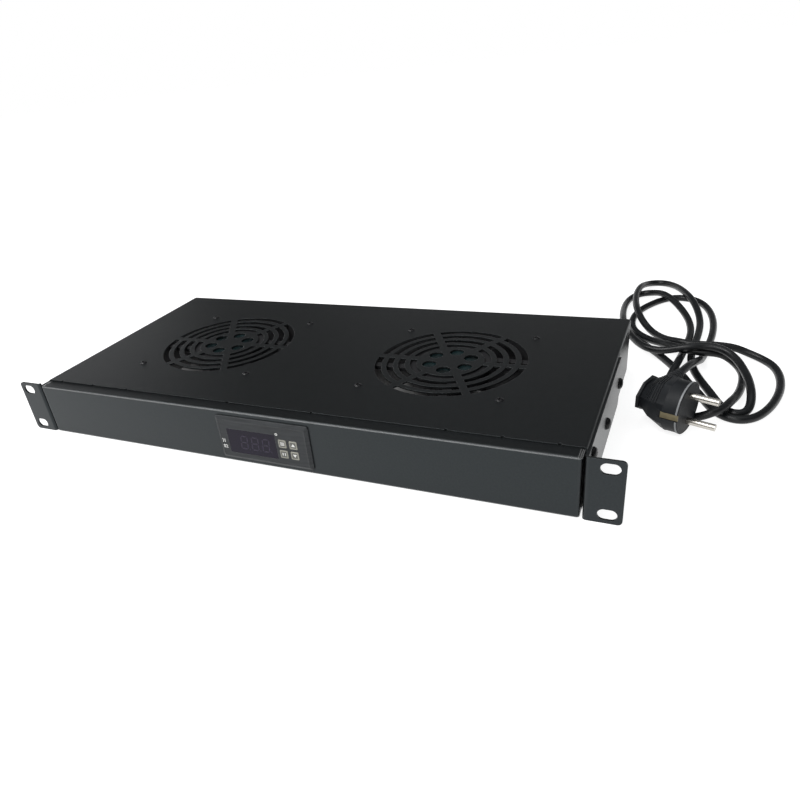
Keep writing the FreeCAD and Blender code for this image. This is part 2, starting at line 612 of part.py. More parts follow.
def make_fan_frame(side, fan_x):
    """Cast ring between two corner flanges, with a motor base on four struts."""
    frame = body(f"{side}_fan_frame")
    at = (fan_x, "dims.fan_centre_y")
    ring = sketch(frame, "XY_Plane", f"{side}_ring", *at, fan_bottom)
    circle(ring, "dims.fan_wall_size / 2")
    pad(frame, ring, "dims.fan_depth", f"{side}_ring_pad")
    for level, height in (("lower", fan_bottom), ("upper", f"{under_top} - dims.fan_flange")):
        flange = sketch(frame, "XY_Plane", f"{side}_{level}_flange", *at, height)
        rounded_square(flange, S["fan_size"] / 2, S["fan_corner"])
        pad(frame, flange, "dims.fan_flange", f"{side}_{level}_flange_pad")
    bore = sketch(frame, "XY_Plane", f"{side}_bore", *at, under_top)
    circle(bore, "dims.fan_bore / 2")
    pocket(frame, bore, f"{side}_bore_cut", "dims.fan_depth")
    base = sketch(frame, "XY_Plane", f"{side}_base", *at, base_bottom)
    circle(base, "dims.base_size / 2")
    pad(frame, base, "dims.base_sheet", f"{side}_base_pad")
    strut = sketch(frame, "XY_Plane", f"{side}_strut", *at, base_bottom)
    reach = "(dims.fan_bore / 2 - dims.base_size / 2 + 4)"
    rectangle(strut, reach, "dims.strut_width", f"dims.base_size / 2 - 2.5 + {reach} / 2", "dims.strut_offset")
    arm = pad(frame, strut, "dims.base_sheet", f"{side}_strut_pad")
    polar(frame, arm, strut, 4, f"{side}_struts")
    tube = sketch(frame, "XY_Plane", f"{side}_tube", *at, base_bottom)
    circle(tube, "dims.bearing_tube / 2")
    pad(frame, tube, "dims.bearing_tube_length", f"{side}_tube_pad", reverse=True)
    seat = sketch(frame, "XY_Plane", f"{side}_seat", *at, base_top)
    circle(seat, "dims.bearing_size / 2")
    pocket(frame, seat, f"{side}_seat_cut", "dims.base_sheet + dims.bearing_tube_length")
    corner = sketch(frame, "XY_Plane", f"{side}_bolt_hole", *at, under_top)
    circle(corner, "dims.fan_hole / 2", "dims.fan_pitch / 2", "dims.fan_pitch / 2")
    hole = pocket(frame, corner, f"{side}_bolt_hole_cut", "dims.fan_depth")
    polar(frame, hole, corner, 4, f"{side}_bolt_holes")
    return frame


def rounded_square(item, half, radius):
    outline(item, [(-half, -half, radius), (half, -half, radius), (half, half, radius),
                   (-half, half, radius)])


def make_motor(side, fan_x):
    """Label, bearings, laminated core and coils, all carried by the fan's base."""
    at = (fan_x, "dims.fan_centre_y")
    label = cylinder(f"{side}_hub_label", "dims.label_size / 2", "dims.label_sheet", *at, base_top)

    bearing = cut(
        f"{side}_bearing",
        cylinder(f"{side}_bearing_race", "dims.bearing_size / 2", "dims.bearing_width"),
        cylinder(f"{side}_bearing_hole", "dims.shaft_size / 2 + dims.shaft_play", "dims.bearing_width"))
    bearings = copies(f"{side}_bearings", bearing, [
        (*at, f"{tube_bottom} + 0.5", None), (*at, f"{base_bottom} - 1.5 - dims.bearing_width", None)])

    core = body(f"{side}_motor_core")
    hub = sketch(core, "XY_Plane", f"{side}_core_hub", *at, f"{core_top} - dims.core_depth")
    circle(hub, "dims.core_hub")
    circle(hub, "dims.bearing_tube / 2")
    pad(core, hub, "dims.core_depth", f"{side}_core_hub_pad")
    pole = sketch(core, "XY_Plane", f"{side}_pole", *at, f"{core_top} - dims.core_depth")
    radius = S["hub_size"] / 2 - S["hub_wall"] - S["cage_wall"] - S["air_gap"]
    half = S["pole_width"] / 2
    shoe = radius - S["pole_shoe"]
    start = S["core_hub"] - 1
    spread = math.radians(36)
    rim = V(radius * math.cos(spread), radius * math.sin(spread), 0)
    neck = V(shoe * math.cos(spread), shoe * math.sin(spread), 0)
    lean = math.asin(half / shoe)
    root = V(shoe * math.cos(lean), half, 0)

    def flipped(point):
        return V(point.x, -point.y, 0)

    def on_shoe(angle):
        return V(shoe * math.cos(angle), shoe * math.sin(angle), 0)

    pole.addGeometry([
        LINE(V(start, -half, 0), flipped(root)),
        Part.Arc(flipped(root), on_shoe(-(spread + lean) / 2), flipped(neck)),
        LINE(flipped(neck), flipped(rim)),
        Part.Arc(flipped(rim), V(radius, 0, 0), rim),
        LINE(rim, neck),
        Part.Arc(neck, on_shoe((spread + lean) / 2), root),
        LINE(root, V(start, half, 0)),
        LINE(V(start, half, 0), V(start, -half, 0)),
    ], False)
    arm = pad(core, pole, "dims.core_depth", f"{side}_pole_pad")
    polar(core, arm, pole, 4, f"{side}_poles")

    coil_reach = f"({core_radius} - dims.pole_shoe - dims.core_hub - 2.4)"
    coil_middle = "(dims.core_hub + 0.6)"
    around = "dims.pole_width + 2 * dims.fit_gap"
    coil = cut(
        f"{side}_coil",
        box(f"{side}_coil_block", coil_reach, f"{around} + 2 * dims.coil_wall",
            "dims.core_depth + 2 * dims.fit_gap + 2 * dims.coil_wall",
            f"{coil_middle} + {coil_reach} / 2"),
        box(f"{side}_coil_window", f"{coil_reach} + 2", around, "dims.core_depth + 2 * dims.fit_gap",
            f"{coil_middle} + {coil_reach} / 2", z="dims.coil_wall"))
    coil_z = f"{core_top} - dims.core_depth - dims.fit_gap - dims.coil_wall"
    coils = copies(f"{side}_motor_coils", coil, [
        (*at, coil_z, FreeCAD.Rotation(V(0, 0, 1), 90 * k)) for k in range(4)])
    return [label, bearings, core, coils]


def make_rotor(side, fan_x):
    """Hub cup with swept blades, its cage ring, its shaft and the clip that keeps it in."""
    at = (fan_x, "dims.fan_centre_y")
    impeller = body(f"{side}_impeller")
    disc = sketch(impeller, "XY_Plane", f"{side}_hub_disc", *at, hub_bottom)
    circle(disc, "dims.hub_size / 2")
    pad(impeller, disc, "dims.hub_depth", f"{side}_hub_pad")
    well = sketch(impeller, "XY_Plane", f"{side}_hub_well", *at, hub_top)
    circle(well, f"{cage_outside}")
    pocket(impeller, well, f"{side}_hub_well_cut", "dims.hub_depth - 2 * dims.hub_wall")
    blade_base = f"({hub_bottom} + 1)"
    sections = []
    for number in range(3):
        part = number / 2
        section = sketch(impeller, "XY_Plane", f"{side}_blade_{number}", *at,
                         f"{blade_base} + dims.blade_depth * {part}")
        blade_section(section, math.radians(S["blade_turn"]) * (part - 0.5))
        sections.append(section)
    blade = impeller.newObject("PartDesign::AdditiveLoft", f"{side}_blade")
    blade.Profile = sections[0]
    blade.Sections = sections[1:]
    polar(impeller, blade, sections[0], S["blade_count"], f"{side}_blades")
    bore = sketch(impeller, "XY_Plane", f"{side}_shaft_bore", *at, hub_top)
    circle(bore, "dims.shaft_size / 2")
    pocket(impeller, bore, f"{side}_shaft_bore_cut", "dims.hub_depth - dims.hub_wall")

    cage = cut(f"{side}_rotor_cage",
               cylinder(f"{side}_cage_outside", cage_outside, "dims.core_depth + 2", *at,
                        f"{core_top} - dims.core_depth - 1"),
               cylinder(f"{side}_cage_inside", f"{cage_outside} - dims.cage_wall", "dims.core_depth + 2",
                        *at, f"{core_top} - dims.core_depth - 1"))
    shaft_bottom = f"({hub_bottom} + dims.hub_wall)"
    shaft = cylinder(f"{side}_fan_shaft", "dims.shaft_size / 2", f"{base_bottom} - {shaft_bottom} - 0.3",
                     *at, shaft_bottom)
    clip = cut(f"{side}_shaft_clip",
               cylinder(f"{side}_clip_outside", "dims.shaft_size / 2 + 1.2", "0.5", *at,
                        f"{base_bottom} - 1.3"),
               cylinder(f"{side}_clip_inside", "dims.shaft_size / 2", "0.5", *at, f"{base_bottom} - 1.3"))
    return [impeller, cage, shaft, clip]


def blade_section(item, turned):
    """Level cut through one blade: a thin curved strip from the hub to the tip."""
    start = S["hub_size"] / 2 - S["hub_wall"] / 2
    stop = S["fan_bore"] / 2 - S["tip_gap"]
    half = S["blade_sheet"] / 2
    curve = math.radians(14)

    def point(radius, share, side):
        angle = turned + curve * share
        return V(radius * math.cos(angle) - side * half * math.sin(angle),
                 radius * math.sin(angle) + side * half * math.cos(angle), 0)

    middle = (start + stop) / 2
    near = (point(start, 0, -1), point(middle, 0.7, -1), point(stop, 1, -1))
    far = (point(stop, 1, 1), point(middle, 0.7, 1), point(start, 0, 1))
    item.addGeometry([Part.Arc(*near), LINE(near[2], far[0]), Part.Arc(*far), LINE(far[2], near[0])],
                     False)


def make_finger_guard(side, fan_x):
    """Welded guard: rings on two crossed bars that end in four eyes."""
    at = (fan_x, "dims.fan_centre_y")
    bar_z = f"({fan_bottom} - dims.guard_wire)"
    ring_z = f"({bar_z} - 0.8 * dims.guard_wire)"

    def hoop(name, radius, x, y, z):
        return cut(name, cylinder(f"{name}_outside", f"{radius} + dims.guard_wire / 2", "dims.guard_wire", x, y, z),
                   cylinder(f"{name}_inside", f"{radius} - dims.guard_wire / 2", "dims.guard_wire", x, y, z))

    pieces = []
    for ring in range(S["guard_rings"]):
        radius = f"dims.guard_inner + {ring} * dims.guard_step"
        pieces.append(hoop(f"{side}_guard_ring_{ring}", radius, *at, ring_z))
    eye_radius = "(dims.bolt_shank / 2 + dims.guard_wire * 0.55)"
    corners = [(i, k) for i in ("+", "-") for k in ("+", "-")]
    for number, (i, k) in enumerate(corners):
        pieces.append(hoop(f"{side}_guard_eye_{number}", eye_radius, f"{at[0]} {i} dims.fan_pitch / 2",
                           f"{at[1]} {k} dims.fan_pitch / 2", bar_z))
    reach = f"(dims.fan_pitch / sqrt(2) - {eye_radius})"
    for number, angle in enumerate((45, -45)):
        bar = doc.addObject("Part::Box", f"{side}_guard_bar_{number}")
        bind(bar, Length=f"2 * {reach}", Width="dims.guard_wire", Height="dims.guard_wire")
        turn(bar, V(0, 0, 1), angle)
        back = f"{reach} * cos({angle})"
        side_step = f"dims.guard_wire / 2 * sin({angle})"
        pieces.append(bind(bar, x=f"{at[0]} - {back} + {side_step}",
                           y=f"{at[1]} - {reach} * sin({angle}) - dims.guard_wire / 2 * cos({angle})",
                           z=bar_z))
    return fuse(f"{side}_finger_guard", *pieces)


# ---------------------------------------------------------------- thermostat

thermo_x = "dims.thermostat_x"
thermo_z = "dims.thermostat_z"
window_at = (f"{thermo_x} + dims.window_x", f"{thermo_z} + dims.window_z")
face_y = "(dims.bezel_rise - dims.bezel_recess)"
housing_width = "(dims.cutout_width - 2 * dims.cutout_gap)"
housing_height = "(dims.cutout_height - 2 * dims.cutout_gap)"
BUTTONS = {
    "set_button": ("-", "+"), "up_button": ("+", "+"), "light_button": ("-", "-"), "down_button": ("+", "-"),
}


def button_place(name):
    across, up = BUTTONS[name]
    x = f"{thermo_x} + dims.button_x {across} dims.button_pitch_x / 2"
    return x, f"{thermo_z} + dims.button_z {up} dims.button_pitch_z / 2"


def make_bezel():
    bezel = body("bezel")
    plan = sketch(bezel, "XZ_Plane", "bezel_plan")
    rectangle(plan, "dims.bezel_width", "dims.bezel_height", thermo_x, thermo_z)
    block = pad(bezel, plan, "dims.bezel_rise", "bezel_pad")

    def corner(middle, direction):
        return abs(direction.y) > 0.9

    round_edges(bezel, block, "dims.bezel_corner", corner, "bezel_corners")
    face = sketch(bezel, "XZ_Plane", "bezel_face", offset="dims.bezel_rise")
    rectangle(face, "dims.bezel_width - 2 * dims.bezel_rim", "dims.bezel_height - 2 * dims.bezel_rim",
              thermo_x, thermo_z)
    pocket(bezel, face, "bezel_recess_cut", "dims.bezel_recess")
    openings = sketch(bezel, "XZ_Plane", "bezel_openings", offset="dims.bezel_rise")
    rectangle(openings, "dims.window_width", "dims.window_height", *window_at)
    for name in BUTTONS:
        rectangle(openings, "dims.button_size + 2 * dims.fit_gap", "dims.button_size + 2 * dims.fit_gap",
                  *button_place(name))
    pocket(bezel, openings, "bezel_openings_cut")
    return bezel


def make_housing():
    housing = body("controller_housing")
    plan = sketch(housing, "XZ_Plane", "housing_plan")
    rectangle(plan, housing_width, housing_height, thermo_x, thermo_z)
    pad(housing, plan, "dims.housing_depth", "housing_pad", reverse=True)
    inside = sketch(housing, "XZ_Plane", "housing_inside")
    rectangle(inside, f"{housing_width} - 2 * dims.housing_wall", f"{housing_height} - 2 * dims.housing_wall",
              thermo_x, thermo_z)
    pocket(housing, inside, "housing_hollow", "dims.housing_depth - dims.housing_wall")
    return housing


def make_buttons():
    pieces = []
    for name in BUTTONS:
        x, z = button_place(name)
        cap = body(name)
        plan = sketch(cap, "XZ_Plane", f"{name}_plan", offset="-dims.fit_gap")
        rectangle(plan, "dims.button_size", "dims.button_size", x, z)
        block = pad(cap, plan, f"{face_y} + dims.button_rise + dims.fit_gap", f"{name}_pad")

        def corner(middle, direction):
            return abs(direction.y) > 0.9

        round_edges(cap, block, "1.0", corner, f"{name}_corners")
        flange = sketch(cap, "XZ_Plane", f"{name}_flange", offset="-dims.fit_gap")
        rectangle(flange, "dims.button_size + 1.2", "dims.button_size + 1.2", x, z)
        pad(cap, flange, "dims.button_flange", f"{name}_flange_pad", reverse=True)
        pieces.append(cap)
    return pieces


def make_electronics():
    """Window, display block, boards, switches and terminals of the thermostat."""
    window = box("display_window", "dims.window_width", "dims.window_sheet", "dims.window_height",
                 window_at[0], f"-{face_y} + dims.window_sheet / 2", f"{window_at[1]} - dims.window_height / 2")
    board_back = "(dims.front_board_y + dims.board_sheet)"
    front_board = box("display_board", "dims.front_board_width", "dims.board_sheet",
                      "dims.front_board_height", thermo_x, "dims.front_board_y + dims.board_sheet / 2",
                      f"{thermo_z} - dims.front_board_height / 2")
    display_depth = f"(dims.front_board_y + {face_y} - dims.window_sheet)"
    display = box("display_block", "dims.window_width - 2", display_depth, "dims.window_height - 2",
                  window_at[0], f"dims.front_board_y - {display_depth} / 2",
                  f"{window_at[1]} - dims.window_height / 2 + 1")
    switch = fuse(
        "switch",
        box("switch_case", "dims.switch_body", "dims.switch_height", "dims.switch_body",
            y="-dims.switch_height / 2", z="-dims.switch_body / 2"),
        along_y(cylinder("switch_plunger", "1.6", "dims.front_board_y - dims.fit_gap - "
                         "dims.button_flange - dims.button_travel - dims.fit_gap",
                         y="-(dims.front_board_y - dims.fit_gap - dims.button_flange - "
                         "dims.button_travel - dims.fit_gap)")))
    switches = copies("button_switches", switch, [
        (button_place(name)[0], "dims.front_board_y", button_place(name)[1], None) for name in BUTTONS])
    main_board = box("main_board", "dims.main_board_width", "dims.main_board_depth", "dims.board_sheet",
                     thermo_x, f"{board_back} + dims.main_board_depth / 2",
                     f"{thermo_z} - dims.main_board_drop")
    board_top = f"({thermo_z} - dims.main_board_drop + dims.board_sheet)"
    relay = box("relay", "dims.relay_width", "dims.relay_depth", "dims.relay_height",
                f"{thermo_x} + dims.relay_x", f"{board_back} + dims.relay_y", board_top)
    transformer = box("transformer", "dims.transformer_width", "dims.transformer_depth",
                      "dims.transformer_height", f"{thermo_x} - dims.transformer_x",
                      f"{board_back} + dims.transformer_y", board_top)
    terminal_y = "dims.housing_depth"
    pitch = "(dims.terminal_width / dims.terminal_count)"
    block = box("terminal_body", "dims.terminal_width", "dims.terminal_depth", "dims.terminal_height",
                thermo_x, f"{terminal_y} + dims.terminal_depth / 2", f"{thermo_z} - dims.terminal_height / 2")
    wells = []
    screws = []
    for number in range(S["terminal_count"]):
        x = f"{thermo_x} + ({number} + 0.5) * {pitch} - dims.terminal_width / 2"
        top = f"{thermo_z} + dims.terminal_height / 2"
        wells.append(cylinder(f"terminal_well_{number}", "dims.terminal_screw / 2 + 0.4", "4", x,
                              f"{terminal_y} + dims.terminal_depth / 2", f"{top} - 3"))
        screws.append((x, f"{terminal_y} + dims.terminal_depth / 2", f"{top} - 3", None))
    terminal_block = cut("terminal_block", block, fuse("terminal_wells", *wells))
    head = cut("terminal_screw", cylinder("terminal_screw_head", "dims.terminal_screw / 2", "1.6"),
               box("terminal_screw_slot", "dims.terminal_screw + 1", "0.7", "2", z="0.9"))
    terminal_screws = copies("terminal_screws", head, screws)
    return [window, front_board, display, switches, main_board, relay, transformer, terminal_block,
            terminal_screws]


def make_clips():
    """Two clamps that slide along the housing and press on the back of the panel."""
    pieces = []
    for side, sign in (("left", "-"), ("right", "+")):
        x = f"{thermo_x} {sign} ({housing_width} / 2 + dims.clip_width / 2)"
        bar = box(f"{side}_clip_bar", "dims.clip_width", "dims.clip_length", "dims.clip_height", x,
                  "dims.panel_sheet + dims.clip_length / 2", f"{thermo_z} - dims.clip_height / 2")
        inner = f"{thermo_x} {sign} ({housing_width} / 2 + dims.clip_width)"
        relief = box(f"{side}_clip_relief", "dims.clip_width", "dims.clip_length * 0.5",
                     "dims.clip_height * 0.5", inner, "dims.panel_sheet + dims.clip_length * 0.55",
                     f"{thermo_z} - dims.clip_height * 0.25")
        pieces.append(cut(f"{side}_mounting_clip", bar, relief))
    return pieces


# ---------------------------------------------------------------- cords and plug

def tube(name, points, diameter):
    """Round cord along straight runs that are joined by tangent arcs."""
    points = [V(*p) for p in points]
    edges = []
    radii = []
    here = points[0]
    for k in range(1, len(points) - 1):
        back = (points[k - 1] - points[k])
        ahead = (points[k + 1] - points[k])
        shorter = min(back.Length, ahead.Length)
        half_turn = (math.pi - back.getAngle(ahead)) / 2
        radius = 0.45 * shorter / math.tan(half_turn)
        back.normalize()
        ahead.normalize()
        start = points[k] + back * (0.45 * shorter)
        stop = points[k] + ahead * (0.45 * shorter)
        inward = (back + ahead).normalize()
        middle = points[k] + inward * (radius / math.cos(half_turn) - radius)
        edges.append(LINE(here, start).toShape())
        edges.append(Part.Arc(start, middle, stop).toShape())
        radii.append(round(radius, 1))
        here = stop
    edges.append(LINE(here, points[-1]).toShape())
    path = Part.Wire(edges)
    ring = Part.makeCircle(diameter / 2, points[0], points[1] - points[0])
    solid = path.makePipeShell([Part.Wire([ring])], True, False)
    expected = math.pi * diameter ** 2 / 4 * path.Length
    print(f"{name}: length {path.Length:.1f}, volume {solid.Volume / expected:.4f} of section x length, "
          f"smallest radius {min(radii)}")
    print("  radii", radii)
    item = doc.addObject("Part::Feature", name)
    item.Shape = solid
    return item


def make_cords():
    """Outer cord on the floor, its relief and gland, and the leads inside the tray."""
    outside = tube("power_cord", [(x, y, z + BASE_Z) for x, y, z in CORD_ROUTE], S["cord_size"])
    rear = "dims.chassis_rear"
    relief = fuse(
        "strain_relief",
        along_y(cone("relief_cone", "dims.relief_base / 2", "dims.relief_tip / 2",
                     "dims.relief_length - dims.gland_flange", "dims.exit_x",
                     f"{rear} + dims.gland_flange", "dims.exit_z")),
        along_y(cylinder("relief_flange", "dims.gland_size / 2", "dims.gland_flange", "dims.exit_x",
                         rear, "dims.exit_z")),
        along_y(cylinder("relief_barrel", "dims.relief_base / 2",
                         "dims.chassis_sheet + dims.gland_nut + 2", "dims.exit_x",
                         f"{rear} - dims.chassis_sheet - dims.gland_nut - 2", "dims.exit_z")))
    nut_y = f"{rear} - dims.chassis_sheet - dims.gland_nut"
    gland_nut = cut(
        "gland_nut",
        along_y(cylinder("gland_nut_blank", "dims.gland_size / 2 + 1", "dims.gland_nut", "dims.exit_x",
                         nut_y, "dims.exit_z")),
        along_y(cylinder("gland_nut_bore", "dims.relief_base / 2", "dims.gland_nut", "dims.exit_x",
                         nut_y, "dims.exit_z")))
    start_y = S["chassis_rear"] - S["chassis_sheet"] - S["gland_nut"] - 2
    terminal_y = S["housing_depth"] + S["terminal_depth"]
    x = S["exit_x"]
    z = S["exit_z"]
    middle = S["thermostat_x"]
    level = S["thermostat_z"] - 3
    mains = tube("mains_lead", [
        (x, start_y, z), (x, start_y - 14, z), (x - 12, start_y - 26, z), (x - 38, start_y - 30, z - 3),
        (x - 80, start_y - 29, z - 4), (middle + 34, start_y - 30, z - 4),
        (middle + 15, start_y - 41, z - 3), (middle + 11, start_y - 66, level - 1),
        (middle + 12, start_y - 92, level), (middle + 11.25, terminal_y + 20, level),
        (middle + 11.25, terminal_y, level)], S["cord_size"])
    leads = []
    edge = S["fan_spacing"] / 2 - S["fan_size"] / 2
    for side, sign, start in (("left", -1, -18.75), ("right", 1, 26.25)):
        reach = sign * (edge - 4)
        leads.append(tube(f"{side}_fan_lead", [
            (middle + start, terminal_y, level), (middle + start, terminal_y + 12, level),
            (middle + (start + reach) / 2, terminal_y + 24, level + 2),
            (reach, terminal_y + 36, level + 5),
            (reach + sign * 1.0, terminal_y + 58, level + 6),
            (reach + sign * 1.0, terminal_y + 72, level + 6.5)], S["lead_size"]))
    return [outside, relief, gland_nut, mains, *leads]


def place_plug(item, u, v, w):
    """Move a piece given in the plug's own axes: u with the pins, v with the cord, w up."""
    angle = math.radians(S["plug_turn"])
    x = S["plug_x"] + u * math.cos(angle) - v * math.sin(angle)
    y = S["plug_y"] + u * math.sin(angle) + v * math.cos(angle)
    turned = FreeCAD.Rotation(V(0, 0, 1), S["plug_turn"])
    item.Placement = FreeCAD.Placement(V(x, y, BASE_Z + S["plug_size"] / 2 + w), turned * item.Placement.Rotation)
    return item


def ellipse(item, across, half_length, half_height):
    item.addGeometry(Part.Ellipse(V(across, 0, 0), half_length, half_height), False)


def make_plug():
    plug = body("plug_shell")
    face = sketch(plug, "YZ_Plane", "plug_face")
    circle(face, "dims.plug_size / 2")
    pad(plug, face, "dims.plug_barrel", "plug_barrel_pad", reverse=True)
    front = sketch(plug, "YZ_Plane", "plug_front_section", offset="-dims.plug_barrel")
    circle(front, "dims.plug_size / 2")
    middle = sketch(plug, "YZ_Plane", "plug_middle_section", offset="-dims.grip_middle")
    ellipse(middle, S["middle_shift"], S["middle_length"] / 2, S["middle_height"] / 2)
    back = sketch(plug, "YZ_Plane", "plug_back_section", offset="-dims.plug_body")
    ellipse(back, S["grip_shift"], S["grip_length"] / 2, S["grip_height"] / 2)
    shoulder = plug.newObject("PartDesign::AdditiveLoft", "plug_shoulder")
    shoulder.Profile = front
    shoulder.Sections = [middle, back]
    lip = sketch(plug, "YZ_Plane", "grip_lip_section", offset="-dims.plug_body + dims.lip_sheet / 2")
    ellipse(lip, S["grip_shift"], S["grip_length"] / 2 + S["grip_lip"], S["grip_height"] / 2 + S["grip_lip"])
    pad(plug, lip, "dims.lip_sheet", "grip_lip_pad", reverse=True)
    neck_start = "-(dims.grip_shift + dims.grip_length / 2 - 6)"
    neck = sketch(plug, "XZ_Plane", "neck_root", x="-dims.neck_offset", offset=neck_start)
    circle(neck, "dims.neck_base / 2")
    tip = sketch(plug, "XZ_Plane", "neck_tip", x="-dims.neck_offset", offset="-dims.neck_end")
    circle(tip, "dims.neck_tip / 2")
    relief = plug.newObject("PartDesign::AdditiveLoft", "plug_neck")
    relief.Profile = neck
    relief.Sections = [tip]
    grooves = sketch(plug, "YZ_Plane", "earth_grooves")
    for sign in ("", "-"):
        rectangle(grooves, "2 * dims.earth_groove_depth", "dims.earth_groove", f"{sign}dims.plug_size / 2")
    pocket(plug, grooves, "earth_groove_cut", "dims.earth_groove_length")
    place_plug(plug, 0, 0, 0)
    plug.Label = "plug_body"

    pins = []
    clips = []
    for name, sign in (("upper", 1), ("lower", -1)):
        pin = doc.addObject("Part::Cylinder", f"{name}_pin")
        bind(pin, Radius="dims.pin_size / 2", Height="dims.pin_length")
        pins.append(place_plug(along_x(pin), 0, 0, sign * S["pin_pitch"] / 2))
        clip = doc.addObject("Part::Box", f"{name}_earth_clip")
        bind(clip, Length="12", Width="1.2", Height="dims.earth_clip")
        bottom = S["plug_size"] / 2 - S["earth_groove_depth"]
        v = bottom if sign > 0 else -bottom - 1.2
        clips.append(place_plug(clip, -12, v, -S["earth_clip"] / 2))
    return [plug, group("plug_pins", pins), group("earth_contacts", clips)]


# ---------------------------------------------------------------- assembly

def make_tray():
    make_sheet()
    nodes = [make_chassis(), make_front_panel(), *make_brackets(), *make_bracket_fasteners()]
    for side, fan_x in FAN_X.items():
        nodes.append(make_fan_frame(side, fan_x))
        nodes += make_motor(side, fan_x)
        nodes += make_rotor(side, fan_x)
        nodes.append(make_finger_guard(side, fan_x))
    nodes += make_fan_fasteners()
    nodes += [make_bezel(), make_housing(), *make_electronics(), *make_buttons(), *make_clips()]
    nodes += [*make_cords(), *make_plug()]
    doc.recompute()
    return nodes


def check(nodes):
    """Stop when an object failed, or when a node has no valid shape."""
    failed = [o.Name for o in doc.Objects if {"Invalid", "Error"} & set(o.State)]
    if failed:
        raise RuntimeError(f"failed objects: {failed}")
    for node in nodes:
        if node.Shape.isNull() or not node.Shape.isValid() or not node.Shape.Solids:
            raise RuntimeError(f"{node.Label} has no valid solid")


def write(nodes):
    os.makedirs("parts", exist_ok=True)
    for node in nodes:
        node.Shape.exportStep(f"parts/{node.Label}.step")
    print(len(nodes), "nodes")


tray = make_tray()
check(tray)
write(tray)
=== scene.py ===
"""Dress the rack fan tray: materials, finer forms, the cord, and the stage with its light and camera."""
import math

import bmesh
import bpy
from mathutils import Matrix, Vector

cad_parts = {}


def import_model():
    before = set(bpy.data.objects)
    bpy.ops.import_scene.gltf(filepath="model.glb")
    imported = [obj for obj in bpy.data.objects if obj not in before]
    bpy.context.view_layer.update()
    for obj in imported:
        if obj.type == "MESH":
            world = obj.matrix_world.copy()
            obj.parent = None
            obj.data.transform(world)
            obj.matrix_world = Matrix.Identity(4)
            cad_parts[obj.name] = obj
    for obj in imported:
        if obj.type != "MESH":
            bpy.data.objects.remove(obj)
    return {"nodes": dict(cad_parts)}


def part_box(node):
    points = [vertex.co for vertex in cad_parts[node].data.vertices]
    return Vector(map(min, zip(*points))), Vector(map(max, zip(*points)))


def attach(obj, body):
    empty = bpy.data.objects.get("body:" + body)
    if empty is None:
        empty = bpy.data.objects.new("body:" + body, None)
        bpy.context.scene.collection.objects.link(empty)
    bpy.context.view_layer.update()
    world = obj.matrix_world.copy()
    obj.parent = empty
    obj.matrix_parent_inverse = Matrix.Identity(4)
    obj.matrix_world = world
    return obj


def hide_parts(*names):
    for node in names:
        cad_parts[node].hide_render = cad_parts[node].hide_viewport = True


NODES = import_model()["nodes"]
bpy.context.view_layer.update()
MM = 0.001
FLOOR_Z = -0.022

# a rounded edge turns its normal away from its face; the cosine of that turn where the painted
# edge highlight (partly edge wear) starts and where it is full, and the colour it lightens towards
EDGE_START = 0.995
EDGE_FULL = 0.90
EDGE_COLOUR = (0.2, 0.2, 0.2, 1)


# ---------------------------------------------------------------- materials

def fill_ramp(ramp, stops):
    """Set a colour ramp to (place, colour) pairs in rising order."""
    elements = ramp.color_ramp.elements
    for place, colour in stops[1:-1]:
        elements.new(place).color = (*colour, 1)
    for element, (place, colour) in ((elements[0], stops[0]), (elements[-1], stops[-1])):
        element.position = place
        element.color = (*colour, 1)


